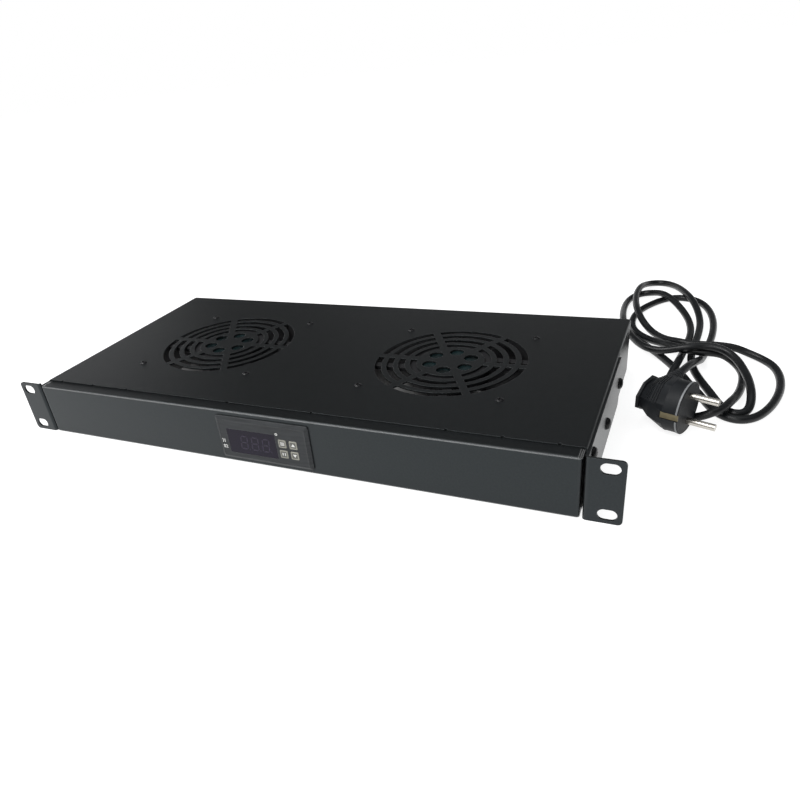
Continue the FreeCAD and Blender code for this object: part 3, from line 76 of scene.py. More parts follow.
def material(name, colour, rough, metal=0.0, spec=0.5, tint=0.12, patch=35.0, rough_spread=0.06,
             bumps=(), stretch=None, edge=0.0, soft_edge=0.3, gloss_tint=(1, 1, 1)):
    """Principled material: noise on colour and roughness, and layers of noise as bump.

    patch is the scale of the colour noise and tint its depth. bumps is a list of (scale, height
    in mm, detail). soft_edge is the radius in mm by which sharp edges look rounded, and edge is
    how far they are lightened, a painted highlight on edges that is partly edge wear.
    """
    mat = bpy.data.materials.new(name)
    mat.use_nodes = True
    tree = mat.node_tree
    new = tree.nodes.new
    link = tree.links.new
    shader = tree.nodes["Principled BSDF"]
    shader.inputs["Metallic"].default_value = metal
    shader.inputs["Specular IOR Level"].default_value = spec
    shader.inputs["Specular Tint"].default_value = (*gloss_tint, 1)
    vector = new("ShaderNodeTexCoord").outputs["Object"]
    if stretch:
        mapping = new("ShaderNodeMapping")
        mapping.inputs["Scale"].default_value = stretch
        link(vector, mapping.inputs["Vector"])
        vector = mapping.outputs["Vector"]

    def noise(scale, detail=3.0):
        node = new("ShaderNodeTexNoise")
        node.inputs["Scale"].default_value = scale
        node.inputs["Detail"].default_value = detail
        link(vector, node.inputs["Vector"])
        return node.outputs["Fac"]

    ramp = new("ShaderNodeValToRGB")
    fill_ramp(ramp, [(0.3, [c * (1 - tint) for c in colour]),
                     (0.7, [min(1.0, c * (1 + tint)) for c in colour])])
    link(noise(patch), ramp.inputs["Fac"])
    base = ramp.outputs["Color"]
    normal = None
    if soft_edge:
        rounded = new("ShaderNodeBevel")
        rounded.samples = 6
        rounded.inputs["Radius"].default_value = soft_edge * MM
        normal = rounded.outputs["Normal"]
    # painted highlight on edges, partly edge wear: the colour lightens where the rounded normal turns from
    # the true normal
    if edge:
        geometry = new("ShaderNodeNewGeometry")
        turn = new("ShaderNodeVectorMath")
        turn.operation = "DOT_PRODUCT"
        link(normal, turn.inputs[0])
        link(geometry.outputs["True Normal"], turn.inputs[1])
        edge_wear_and_highlight = new("ShaderNodeMapRange")
        edge_wear_and_highlight.inputs["From Min"].default_value = EDGE_START
        edge_wear_and_highlight.inputs["From Max"].default_value = EDGE_FULL
        edge_wear_and_highlight.inputs["To Min"].default_value = 0.0
        edge_wear_and_highlight.inputs["To Max"].default_value = edge
        link(turn.outputs["Value"], edge_wear_and_highlight.inputs["Value"])
        mix = new("ShaderNodeMix")
        mix.data_type = "RGBA"
        link(edge_wear_and_highlight.outputs["Result"], mix.inputs["Factor"])
        # sockets 6 and 7 are the node's colour inputs, and output 2 its colour
        link(base, mix.inputs[6])
        mix.inputs[7].default_value = EDGE_COLOUR
        base = mix.outputs[2]
    link(base, shader.inputs["Base Color"])
    spread = new("ShaderNodeMapRange")
    spread.inputs["To Min"].default_value = max(0.02, rough - rough_spread)
    spread.inputs["To Max"].default_value = min(1.0, rough + rough_spread)
    link(noise(patch * 4, 4.0), spread.inputs["Value"])
    link(spread.outputs["Result"], shader.inputs["Roughness"])
    for scale, height, detail in bumps:
        bump = new("ShaderNodeBump")
        bump.inputs["Strength"].default_value = 1.0
        bump.inputs["Distance"].default_value = height * MM
        link(noise(scale, detail), bump.inputs["Height"])
        if normal:
            link(normal, bump.inputs["Normal"])
        normal = bump.outputs["Normal"]
    if normal:
        link(normal, shader.inputs["Normal"])
    return mat


POWDER = dict(rough=0.33, spec=0.38, tint=0.25, patch=700.0, rough_spread=0.10, gloss_tint=(0.82, 0.94, 1.0),
              bumps=[(1100.0, 0.045, 1.0), (90.0, 0.05, 2.0)])
# edge in these materials is a painted highlight on rounded edges, partly edge wear
MATERIALS = {
    "powder": material("powder_coat", (0.0066, 0.0072, 0.0074), edge=0.22, **POWDER),
    # the front panel's copy of the coat: wide rounded edges lightened almost fully, a painted highlight
    # along its top bend
    "powder_front_painted_highlight": material("powder_coat_front_painted_highlight", (0.0066, 0.0072, 0.0074), edge=0.95, soft_edge=1.3,
                             **POWDER),
    "powder_ear": material("powder_coat_ears", (0.0075, 0.0080, 0.0084), edge=0.14, **POWDER),
    "screw": material("black_oxide", (0.005, 0.005, 0.006), 0.34, spec=0.25, patch=300.0,
                      bumps=[(1500.0, 0.01, 2.0)]),
    "zinc": material("zinc_plate", (0.62, 0.62, 0.60), 0.30, metal=1.0, tint=0.08, patch=220.0,
                     bumps=[(900.0, 0.006, 3.0)]),
    "nickel": material("bright_nickel", (0.52, 0.50, 0.46), 0.18, metal=1.0, tint=0.04, patch=90.0,
                       rough_spread=0.04, stretch=(1.0, 1.0, 6.0), bumps=[(700.0, 0.003, 2.0)]),
    "brass": material("brass_strip", (0.17, 0.145, 0.09), 0.38, metal=1.0, tint=0.3, patch=160.0,
                      bumps=[(500.0, 0.02, 2.0)]),
    "cast": material("fan_frame_black", (0.010, 0.010, 0.011), 0.55, spec=0.35, patch=60.0,
                     bumps=[(1200.0, 0.05, 3.0), (160.0, 0.04, 2.0)], edge=0.08),
    "blade": material("glass_filled_plastic", (0.011, 0.011, 0.012), 0.42, spec=0.4, patch=80.0,
                      bumps=[(900.0, 0.015, 2.0)]),
    "label": material("hub_foil", (0.006, 0.013, 0.014), 0.12, metal=0.4, tint=0.9, patch=90.0,
                      rough_spread=0.08, bumps=[(170.0, 0.6, 2.0)]),
    "steel": material("laminated_steel", (0.30, 0.29, 0.28), 0.38, metal=1.0, tint=0.1, patch=200.0,
                      stretch=(1.0, 1.0, 14.0), bumps=[(500.0, 0.03, 2.0)]),
    "bearing": material("bearing_steel", (0.60, 0.60, 0.62), 0.2, metal=1.0, tint=0.05, patch=160.0,
                        bumps=[(800.0, 0.003, 2.0)]),
    "copper": material("enamelled_copper", (0.42, 0.13, 0.045), 0.3, metal=0.8, tint=0.2, patch=140.0,
                       stretch=(1.0, 1.0, 5.0), bumps=[(900.0, 0.06, 1.0)]),
    "magnet": material("ferrite", (0.045, 0.045, 0.05), 0.6, metal=0.3, patch=240.0,
                       bumps=[(900.0, 0.03, 3.0)]),
    "bezel": material("bezel_grey", (0.026, 0.028, 0.030), 0.46, spec=0.20, tint=0.22, patch=60.0,
                      stretch=(1.0, 1.0, 9.0), bumps=[(1500.0, 0.012, 2.0)], edge=0.35),
    "housing": material("moulded_black", (0.014, 0.014, 0.015), 0.5, spec=0.4, patch=90.0,
                        bumps=[(1100.0, 0.02, 2.0)]),
    "window": material("smoked_window", (0.0050, 0.0036, 0.0095), 0.16, spec=0.20, tint=0.25, patch=28.0,
                       rough_spread=0.03, gloss_tint=(0.92, 0.88, 1.0)),
    "button": material("button_grey", (0.085, 0.084, 0.073), 0.45, spec=0.45, patch=150.0,
                       bumps=[(1400.0, 0.01, 2.0)], edge=0.4),
    "board": material("board_green", (0.012, 0.085, 0.035), 0.35, spec=0.5, tint=0.2, patch=110.0,
                      bumps=[(260.0, 0.03, 1.0)]),
    "relay": material("relay_blue", (0.015, 0.07, 0.24), 0.35, spec=0.5, patch=120.0,
                      bumps=[(900.0, 0.01, 2.0)]),
    "tape": material("transformer_tape", (0.52, 0.34, 0.05), 0.32, spec=0.5, tint=0.15, patch=90.0,
                     bumps=[(240.0, 0.05, 2.0)]),
    "terminal": material("terminal_green", (0.02, 0.16, 0.07), 0.45, spec=0.45, patch=120.0,
                         bumps=[(900.0, 0.01, 2.0)]),
    "clip": material("clip_orange", (0.38, 0.10, 0.02), 0.45, spec=0.45, patch=120.0,
                     bumps=[(900.0, 0.015, 2.0)]),
    "pvc": material("cord_pvc", (0.0060, 0.0068, 0.0076), 0.36, spec=0.30, tint=0.2, patch=120.0,
                    rough_spread=0.08, bumps=[(420.0, 0.05, 3.0), (2200.0, 0.015, 2.0)], soft_edge=0.0),
    "lead": material("lead_pvc", (0.016, 0.016, 0.017), 0.42, spec=0.5, patch=160.0,
                     bumps=[(900.0, 0.03, 2.0)]),
    "plug": material("plug_pvc", (0.0085, 0.0098, 0.0115), 0.52, spec=0.20, tint=0.15, patch=90.0,
                     rough_spread=0.08, bumps=[(1300.0, 0.05, 3.0), (150.0, 0.04, 2.0)], edge=0.10),
    "key_rim": material("key_rim", (0.24, 0.235, 0.20), 0.36, metal=0.2, spec=0.5, tint=0.1, patch=260.0,
                        bumps=[(1500.0, 0.008, 2.0)]),
    "print": material("white_print", (0.62, 0.62, 0.60), 0.5, spec=0.4, tint=0.06, patch=500.0),
    "segment": material("unlit_segment", (0.013, 0.008, 0.024), 0.22, spec=0.3, tint=0.1, patch=300.0),
    "rim": material("plug_rim", (0.16, 0.165, 0.17), 0.42, spec=0.45, tint=0.12, patch=200.0),
}
# the material of each solid's node
DRESS = {
    "powder": ["chassis"],
    "powder_front_painted_highlight": ["front_panel"],
    "powder_ear": ["left_rack_bracket", "right_rack_bracket"],
    "screw": ["left_bracket_screws", "right_bracket_screws", "fan_bolts"],
    "zinc": ["left_clinch_nuts", "right_clinch_nuts", "fan_nuts", "left_finger_guard",
             "right_finger_guard", "terminal_screws"],
    "nickel": ["plug_pins"],
    "brass": ["earth_contacts"],
    "cast": ["left_fan_frame", "right_fan_frame"],
    "blade": ["left_impeller", "right_impeller"],
    "label": ["left_hub_label", "right_hub_label"],
    "steel": ["left_motor_core", "right_motor_core", "left_fan_shaft", "right_fan_shaft"],
    "bearing": ["left_bearings", "right_bearings", "left_shaft_clip", "right_shaft_clip"],
    "copper": ["left_motor_coils", "right_motor_coils"],
    "magnet": ["left_rotor_cage", "right_rotor_cage"],
    "bezel": ["bezel"],
    "housing": ["controller_housing", "display_block", "button_switches", "gland_nut", "strain_relief"],
    "window": ["display_window"],
    "button": ["set_button", "up_button", "light_button", "down_button"],
    "board": ["display_board", "main_board"],
    "relay": ["relay"],
    "tape": ["transformer"],
    "terminal": ["terminal_block"],
    "clip": ["left_mounting_clip", "right_mounting_clip"],
    "pvc": ["power_cord", "mains_lead"],
    "lead": ["left_fan_lead", "right_fan_lead"],
    "plug": ["plug_body"],
}
for key, names in DRESS.items():
    for name in names:
        slots = NODES[name].data.materials
        slots.clear()
        slots.append(MATERIALS[key])
        for polygon in NODES[name].data.polygons:
            polygon.material_index = 0


# ---------------------------------------------------------------- helpers

def placed(name, data):
    """Object for a mesh, curve, light or camera, linked into the scene."""
    item = bpy.data.objects.new(name, data)
    bpy.context.scene.collection.objects.link(item)
    return item


def piece(name, mesh, key, body):
    """Object for a finished mesh, dressed and riding on a body."""
    item = placed(name, mesh)
    mesh.materials.append(MATERIALS[key])
    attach(item, body)
    return item


def mesh_from(name, form):
    """Mesh of a bmesh, with its faces turned outwards; the bmesh is freed."""
    bmesh.ops.recalc_face_normals(form, faces=form.faces)
    mesh = bpy.data.meshes.new(name)
    form.to_mesh(mesh)
    form.free()
    return mesh


def mesh_of_curve(name, curve):
    """Bare mesh of a curve or a text."""
    source = placed(name + "_source", curve)
    bpy.context.view_layer.update()
    mesh = bpy.data.meshes.new_from_object(source)
    bpy.data.objects.remove(source)
    mesh.materials.clear()
    mesh.name = name
    return mesh


def combined(base, tools, overlapping=False):
    """Mesh of an object after booleans with (object, operation) pairs; the objects are removed."""
    for item, operation in tools:
        cut = base.modifiers.new(operation, "BOOLEAN")
        cut.operation = operation
        cut.solver = "EXACT"
        cut.use_self = overlapping
        cut.object = item
    bpy.context.view_layer.update()
    mesh = bpy.data.meshes.new_from_object(base.evaluated_get(bpy.context.evaluated_depsgraph_get()))
    for item in [base] + [item for item, _ in tools]:
        bpy.data.objects.remove(item)
    return mesh


def rounded_loop(x, z, half_x, half_z, radius, steps=6):
    """Rounded rectangle as (x, z) points, in millimetres."""
    points = []
    for corner, (side_x, side_z) in enumerate(((1, 1), (-1, 1), (-1, -1), (1, -1))):
        for step in range(steps + 1):
            angle = math.radians(90 * corner + 90 * step / steps)
            points.append((x + side_x * (half_x - radius) + radius * math.cos(angle),
                           z + side_z * (half_z - radius) + radius * math.sin(angle)))
    return points


def stacked(form, sections, close_last=True, band_index=()):
    """Skin between (loop of (x, z) points, y) sections; the bands in band_index use slot 1."""
    rows = [[form.verts.new((x * MM, y * MM, z * MM)) for x, z in loop] for loop, y in sections]
    for band, (first, second) in enumerate(zip(rows, rows[1:])):
        count = len(first)
        for k in range(count):
            skin = form.faces.new((first[k], first[(k + 1) % count], second[(k + 1) % count], second[k]))
            skin.smooth = False
            skin.material_index = 1 if band in band_index else 0
    if close_last:
        form.faces.new(rows[-1])


def flat_shapes(name, shapes, front_y, depth, key, body):
    """Thin raised shapes on a face that looks to -Y; each is a loop of (x, z) in millimetres."""
    form = bmesh.new()
    for loop in shapes:
        front = [form.verts.new((x * MM, (front_y - depth) * MM, z * MM)) for x, z in loop]
        back = [form.verts.new((x * MM, front_y * MM, z * MM)) for x, z in loop]
        form.faces.new(front)
        count = len(loop)
        for k in range(count):
            form.faces.new((front[k], back[k], back[(k + 1) % count], front[(k + 1) % count]))
        form.faces.new(back[::-1])
    return piece(name, mesh_from(name, form), key, body)


def bar(x, z, width, height):
    """Upright rectangle as (x, z) points."""
    return [(x - width / 2, z - height / 2), (x + width / 2, z - height / 2),
            (x + width / 2, z + height / 2), (x - width / 2, z + height / 2)]


def lathe(form, profile, steps=40):
    """Turn (radius, height) points in millimetres about Z."""
    rows = []
    for radius, height in profile:
        if radius == 0:
            rows.append([form.verts.new((0, 0, height * MM))])
        else:
            rows.append([form.verts.new((radius * MM * math.cos(2 * math.pi * k / steps),
                                         radius * MM * math.sin(2 * math.pi * k / steps), height * MM))
                         for k in range(steps)])
    for first, second in zip(rows, rows[1:]):
        for k in range(steps):
            n = (k + 1) % steps
            corners = {v: None for v in (first[k % len(first)], first[n % len(first)],
                                         second[n % len(second)], second[k % len(second)])}
            form.faces.new(list(corners)).smooth = True


# ---------------------------------------------------------------- thermostat front

# the bezel, its window and its keys, in millimetres
low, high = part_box("bezel")
BEZEL = [low[0] / MM, high[0] / MM, low[2] / MM, high[2] / MM]
BEZEL_X = (BEZEL[0] + BEZEL[1]) / 2
BEZEL_Z = (BEZEL[2] + BEZEL[3]) / 2
BEZEL_TIP = low[1] / MM
FACE_Y = BEZEL_TIP + 0.25
FACE_INSET = 3.1
WALL_DEPTH = 1.6
WINDOW = (BEZEL_X - 29.9, BEZEL_X + 11.1, BEZEL_Z - 11.6, BEZEL_Z + 8.2)
KEY_HALF = 3.2
KEY_GAP = 0.15
KEYS = {}
for name in ("set_button", "up_button", "light_button", "down_button"):
    low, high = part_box(name)
    KEYS[name] = ((low[0] + high[0]) / 2 / MM - 0.4, (low[2] + high[2]) / 2 / MM - 0.5)


def make_bezel():
    """Sloped border and a face with openings for the window and the keys."""
    form = bmesh.new()
    half_x = (BEZEL[1] - BEZEL[0]) / 2
    half_z = (BEZEL[3] - BEZEL[2]) / 2
    sections = []
    for inset, y, radius in ((0, 0, 2.0), (0, -0.85, 2.0), (0.15, -1.1, 1.8), (2.5, BEZEL_TIP + 0.12, 0.7),
                             (2.8, FACE_Y - 0.06, 0.5), (3.2, FACE_Y, 0.4), (3.4, FACE_Y + 0.1, 0.4)):
        sections.append((rounded_loop(BEZEL_X, BEZEL_Z, half_x - inset, half_z - inset, radius), y))
    stacked(form, sections, close_last=False)
    openings = [WINDOW]
    half = KEY_HALF + KEY_GAP
    for x, z in KEYS.values():
        openings.append((x - half, x + half, z - half, z + half))
    xs = sorted({BEZEL[0] + FACE_INSET, BEZEL[1] - FACE_INSET, *[v for o in openings for v in o[:2]]})
    zs = sorted({BEZEL[2] + FACE_INSET, BEZEL[3] - FACE_INSET, *[v for o in openings for v in o[2:]]})

    def is_open(x, z):
        return any(o[0] < x < o[1] and o[2] < z < o[3] for o in openings)

    grid = {}
    for i, x in enumerate(xs):
        for k, z in enumerate(zs):
            grid[i, k] = form.verts.new((x * MM, FACE_Y * MM, z * MM))
    for i in range(len(xs) - 1):
        for k in range(len(zs) - 1):
            if not is_open((xs[i] + xs[i + 1]) / 2, (zs[k] + zs[k + 1]) / 2):
                form.faces.new((grid[i, k], grid[i + 1, k], grid[i + 1, k + 1], grid[i, k + 1]))
    for x0, x1, z0, z1 in openings:
        loop = [(x0, z0), (x1, z0), (x1, z1), (x0, z1)]
        front = [form.verts.new((x * MM, FACE_Y * MM, z * MM)) for x, z in loop]
        rear = [form.verts.new((x * MM, (FACE_Y + WALL_DEPTH) * MM, z * MM)) for x, z in loop]
        for k in range(4):
            form.faces.new((front[k], front[(k + 1) % 4], rear[(k + 1) % 4], rear[k]))
    bezel = piece("bezel_moulding", mesh_from("bezel_moulding", form), "bezel", "tray")
    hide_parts("bezel")


def digit(half=2.7, tall=5.2, thick=0.95):
    """Seven segments and a point, as loops about the middle of the digit."""
    across = [(-half + 0.55, 0), (-half + 1.0, thick / 2), (half - 1.0, thick / 2), (half - 0.55, 0),
              (half - 1.0, -thick / 2), (-half + 1.0, -thick / 2)]
    reach = tall / 2 - 0.35
    loops = [[(x, z + base) for x, z in across] for base in (-tall, 0.0, tall)]
    for side in (-half, half):
        upright = [(side, -reach), (side + thick / 2, -reach + 0.45), (side + thick / 2, reach - 0.45),
                   (side, reach), (side - thick / 2, reach - 0.45), (side - thick / 2, -reach + 0.45)]
        loops += [[(x, z + base) for x, z in upright] for base in (-tall / 2, tall / 2)]
    loops.append(rounded_loop(half + 1.6, -tall, 0.5, 0.5, 0.45, 2))
    return loops


def make_window():
    """Dark pane with three unlit digits behind it."""
    form = bmesh.new()
    x = (WINDOW[0] + WINDOW[1]) / 2
    z = (WINDOW[2] + WINDOW[3]) / 2
    half_x = (WINDOW[1] - WINDOW[0]) / 2
    half_z = (WINDOW[3] - WINDOW[2]) / 2
    stacked(form, [(rounded_loop(x, z, half_x, half_z, 0.4), FACE_Y + 1.2),
                   (rounded_loop(x, z, half_x, half_z, 0.4), FACE_Y + 0.12),
                   (rounded_loop(x, z, half_x - 0.15, half_z - 0.15, 0.3), FACE_Y + 0.02)])
    pane = piece("window_pane", mesh_from("window_pane", form), "window", "tray")
    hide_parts("display_window")
    lean = 0.10
    digits = [[(px + centre + lean * pz, pz + z - 0.2) for px, pz in loop]
              for centre in (x - 6.6, x + 2.6, x + 11.8) for loop in digit()]
    flat_shapes("display_digits", digits, FACE_Y + 0.02, 0.03, "segment", "tray")


def make_keys():
    """Key caps with a light rim and a printed sign."""
    symbols = {
        "up_button": [[(-1.6, -1.05), (1.6, -1.05), (0, 1.4)]],
        "down_button": [[(-1.6, 1.05), (0, -1.4), (1.6, 1.05)]],
        "set_button": [bar(0, level, 3.2, 0.58) for level in (-0.95, 0.0, 0.95)],
        "light_button": [bar(level, 0.0, 0.85, 2.3) for level in (-0.95, 0.95)],
    }
    # inset from the key's outline, corner radius and y
    rings = ((0, 0.8, FACE_Y + 0.8), (0, 0.8, BEZEL_TIP + 0.28), (0.10, 0.75, BEZEL_TIP + 0.08),
             (0.30, 0.62, BEZEL_TIP), (0.95, 0.35, BEZEL_TIP), (1.10, 0.3, BEZEL_TIP + 0.12))
    for name, (x, z) in KEYS.items():
        form = bmesh.new()
        stacked(form, [(rounded_loop(x, z, KEY_HALF - inset, KEY_HALF - inset, radius), y)
                       for inset, radius, y in rings], band_index=(1, 2, 3))
        key = piece(name + "_cap", mesh_from(name + "_cap", form), "button", name + "_key")
        key.data.materials.append(MATERIALS["key_rim"])
        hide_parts(name)
        shapes = [[(px + x, pz + z) for px, pz in loop] for loop in symbols[name]]
        flat_shapes(name + "_symbol", shapes, BEZEL_TIP + 0.12, 0.05, "print", name + "_key")


def make_mark(name, text, x, z, size):
    """Plain printed numerals or sign on the bezel's face, as a thin mesh."""
    curve = bpy.data.curves.new(name, "FONT")
    curve.body = text
    curve.size = size * MM
    curve.align_x = "CENTER"
    curve.align_y = "CENTER"
    curve.extrude = 0.015 * MM
    curve.offset = 0.10 * MM
    mesh = mesh_of_curve(name, curve)
    mesh.transform(Matrix.Translation((x * MM, (FACE_Y - 0.02) * MM, z * MM))
                   @ Matrix.Rotation(math.pi / 2, 4, "X"))
    piece(name, mesh, "print", "tray")


make_bezel()
make_window()
make_keys()
make_mark("mark_upper", "01", WINDOW[0] - 4.4, BEZEL_Z - 2.6, 3.9)
make_mark("mark_lower", "02", WINDOW[0] - 3.9, BEZEL_Z - 7.4, 3.9)
make_mark("mark_degree", "\u00b0", WINDOW[1] + 1.9, BEZEL_Z + 7.0, 7.0)


# ---------------------------------------------------------------- impellers

def turned_impeller(side, degrees):
    """The impeller's own form, stopped at an angle from where the solid has it."""
    low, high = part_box(side + "_hub_label")
    centre = Vector(((low[0] + high[0]) / 2, (low[1] + high[1]) / 2, 0))
    mesh = NODES[side + "_impeller"].data.copy()
    mesh.materials.clear()
    mesh.transform(Matrix.Translation(centre) @ Matrix.Rotation(math.radians(degrees), 4, "Z")
                   @ Matrix.Translation(-centre))
    mesh.name = side + "_turned_impeller"
    impeller = piece(side + "_turned_impeller", mesh, "blade", side + "_rotor")
    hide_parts(side + "_impeller")


turned_impeller("left", 0.0)
turned_impeller("right", 39.0)


# ---------------------------------------------------------------- bracket screws

# y and z of each bracket's screws, and how far their heads stand out, in millimetres
SCREW_PLACES = ((20.0, 12.5), (80.0, -1.0), (141.0, -1.0))
SCREW_RISE = 2.4
SCREW_PROFILE = [(0, 2.75), (1.6, 2.68), (2.8, 2.35), (3.6, 1.75), (4.05, 0.95), (4.15, 0.3), (4.15, 0),
                 (2.0, 0), (2.0, -6.5), (1.5, -7.2), (0, -7.2)]


def screw_mesh():
    """Pan head with a tapered cross recess, its seat at z = 0."""
    form = bmesh.new()
    lathe(form, SCREW_PROFILE)
    head = placed("screw_head_source", mesh_from("screw_blank", form))
    form = bmesh.new()
    for turned in (False, True):
        ends = []
        for half_x, half_y, z in ((2.3, 0.45, 3.2), (1.0, 0.3, 0.9)):
            ends.append([form.verts.new(((y if turned else x) * MM, (-x if turned else y) * MM, z * MM))
                         for x, y in bar(0, 0, 2 * half_x, 2 * half_y)])
        upper, lower = ends
        form.faces.new(upper)
        form.faces.new(lower[::-1])
        for k in range(4):
            form.faces.new((upper[k], lower[k], lower[(k + 1) % 4], upper[(k + 1) % 4]))
    cutter = placed("screw_cross_source", mesh_from("screw_cross", form))
    return combined(head, [(cutter, "DIFFERENCE")], overlapping=True)


def joined(name, mesh, places):
    """One mesh with a copy of another at each place."""
    form = bmesh.new()
    for place in places:
        copied = mesh.copy()
        copied.transform(place)
        form.from_mesh(copied)
        bpy.data.meshes.remove(copied)
    result = bpy.data.meshes.new(name)
    form.to_mesh(result)
    form.free()
    return result


screw = screw_mesh()
for side, sign in (("left", -1), ("right", 1)):
    low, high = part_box(side + "_bracket_screws")
    seat = high[0] - SCREW_RISE * MM if sign > 0 else low[0] + SCREW_RISE * MM
    places = []
    for number, (y, z) in enumerate(SCREW_PLACES):
        places.append(Matrix.Translation((seat, y * MM, z * MM))
                      @ Matrix.Rotation(sign * math.pi / 2, 4, "Y")
                      @ Matrix.Rotation(math.radians(20 + 37 * number), 4, "Z"))
    mesh = joined(side + "_pan_screws", screw, places)
    screws = piece(side + "_pan_screws", mesh, "screw", "tray")
    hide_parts(side + "_bracket_screws")


# ---------------------------------------------------------------- finger guards

def make_guard(side):
    """Round welded wire in place of the plain one: rings, two crossed bars and four eyes."""
    low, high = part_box(side + "_finger_guard")
    centre = Vector(((low[0] + high[0]) / 2, (low[1] + high[1]) / 2, 0))
    wire = 0.8 * MM
    eye = 2.63 * MM
    bolt = 52.5 * MM
    curve = bpy.data.curves.new(side + "_guard_curve", "CURVE")
    curve.dimensions = "3D"
    curve.bevel_depth = wire
    curve.bevel_resolution = 3

    def run(points, closed):
        spline = curve.splines.new("POLY")
        spline.points.add(len(points) - 1)
        for point, place in zip(spline.points, points):
            point.co = (*place, 1)
        spline.use_cyclic_u = closed
        spline.use_smooth = True

    def hoop(middle, radius, z, steps):
        run([(middle[0] + radius * math.cos(2 * math.pi * k / steps),
              middle[1] + radius * math.sin(2 * math.pi * k / steps), z) for k in range(steps)], True)

    for ring in range(5):
        hoop(centre, (14 + 10 * ring) * MM, low[2] + wire, 72)
    for across, along in ((1, 1), (1, -1)):
        ends = []
        for sign in (-1, 1):
            corner = centre + Vector((sign * across * bolt, sign * along * bolt, 0))
            hoop(corner, eye, high[2] - wire, 20)
            inward = (centre - corner).normalized() * eye
            ends.append((corner[0] + inward[0], corner[1] + inward[1], high[2] - wire))
        run(ends, False)
    mesh = mesh_of_curve(side + "_wire_guard", curve)
    guard = piece(side + "_wire_guard", mesh, "zinc", "tray")
    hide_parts(side + "_finger_guard")


make_guard("left")
make_guard("right")


# ---------------------------------------------------------------- plug

# the plug's own axes: x with the pins, y along the cord's neck, z up
PLUG_PLACE = (Matrix.Translation((0.268, 0.1174, FLOOR_Z + 0.0185))
              @ Matrix.Rotation(math.radians(-19.5), 4, "Z"))
# distance behind the face, half width, half height, sideways shift, share of octagon
PLUG_SECTIONS = [
    (0, 17.8, 17.8, 0, 0), (0.5, 18.5, 18.5, 0, 0), (1.7, 18.5, 18.5, 0, 0), (1.9, 18.1, 18.1, 0, 0),
    (9.8, 18.1, 18.1, 0, 0), (10.6, 18.4, 18.3, 0.2, 0.15), (15.0, 18.3, 17.0, 2.0, 0.9),
    (22.5, 17.6, 14.8, 4.4, 1), (29.0, 15.4, 9.8, 7.4, 1), (30.8, 15.0, 8.8, 8, 1),
    (31.4, 16.9, 10.5, 8, 1), (33.3, 17.1, 10.6, 8, 1),
]
RIM_BAND = 1
RIB_ZONE = (15.5, 28)
RIB_ANGLES = (math.radians(66), math.radians(159))
RIB_DEPTH = 0.75
NECK_SHIFT = -26.5
NECK_RADIUS = 7.2


def plug_section(back):
    """Half width, half height, shift and share of octagon at a distance behind the face."""
    for first, second in zip(PLUG_SECTIONS, PLUG_SECTIONS[1:]):
        if first[0] <= back <= second[0]:
            share = (back - first[0]) / (second[0] - first[0])
            return [a + (b - a) * share for a, b in zip(first[1:], second[1:])]


def plug_shell(steps=96):
    """Barrel with a rim, and a faceted grip with ribs that ends in a flared foot."""
    stations = [(section[0], 0.0) for section in PLUG_SECTIONS
                if not RIB_ZONE[0] < section[0] < RIB_ZONE[1]]
    for rib in range(6):
        start = 16.0 + 1.9 * rib
        stations += [(start, 0.0), (start + 0.15, RIB_DEPTH), (start + 0.85, RIB_DEPTH), (start + 1.0, 0.0)]
    form = bmesh.new()
    rows = []
    for back, groove in sorted(stations):
        half_y, half_z, shift, corner = plug_section(back)
        row = []
        for k in range(steps):
            angle = 2 * math.pi * k / steps
            sector = (angle + math.pi / 8) % (math.pi / 4) - math.pi / 8
            reach = 1 + corner * (1 / math.cos(sector) - 1)
            if RIB_ANGLES[0] < angle < RIB_ANGLES[1]:
                reach -= groove / half_y
            row.append(form.verts.new((-back * MM, (shift + half_y * reach * math.cos(angle)) * MM,
                                       half_z * reach * math.sin(angle) * MM)))
        rows.append(row)
    for band, (first, second) in enumerate(zip(rows, rows[1:])):
        for k in range(steps):
            n = (k + 1) % steps
            skin = form.faces.new((first[k], first[n], second[n], second[k]))
            skin.smooth = True
            skin.material_index = 1 if band == RIM_BAND else 0
    form.faces.new(rows[0])
    form.faces.new(rows[-1])
    return form


def neck_profile():
    """(radius, height) points of the ringed, tapering neck that holds the cord."""
    profile = [(0, 17), (NECK_RADIUS, 17), (NECK_RADIUS, 21)]
    for ring in range(6):
        start = 22.0 + 3.9 * ring
        radius = NECK_RADIUS - 3.3 * (start - 21) / 26
        profile += [(radius, start), (radius - 1.0, start + 0.3), (radius - 1.1, start + 1.3),
                    (radius - 0.2, start + 1.6)]
    return profile + [(3.8, 46.6), (3.8, 47), (0, 47)]


def make_plug():
    """Plug body from its shell, its neck and the two grooves of the earth contacts."""
    shell = placed("plug_source", mesh_from("plug_source", plug_shell()))
    neck = bmesh.new()
    lathe(neck, neck_profile())
    neck.transform(Matrix.Translation((NECK_SHIFT * MM, 0, 0)) @ Matrix.Rotation(-math.pi / 2, 4, "X"))
    grooves = bmesh.new()
    for side in (-1, 1):
        bmesh.ops.create_cube(grooves, size=1.0,
                              matrix=Matrix.Translation((-12.0 * MM, side * 18.5 * MM, 0))
                              @ Matrix.Diagonal((26 * MM, 4.4 * MM, 5.2 * MM, 1)))
    mesh = combined(shell, [(placed("neck_source", mesh_from("neck_source", neck)), "UNION"),
                            (placed("groove_source", mesh_from("groove_source", grooves)), "DIFFERENCE")])
    mesh.transform(PLUG_PLACE)
    mesh.set_sharp_from_angle(angle=math.radians(22))
    grip = piece("plug_grip", mesh, "plug", "tray")
    grip.data.materials.append(MATERIALS["rim"])
    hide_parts("plug_body")
    return grip


PLUG_GRIP = make_plug()


# ---------------------------------------------------------------- cord

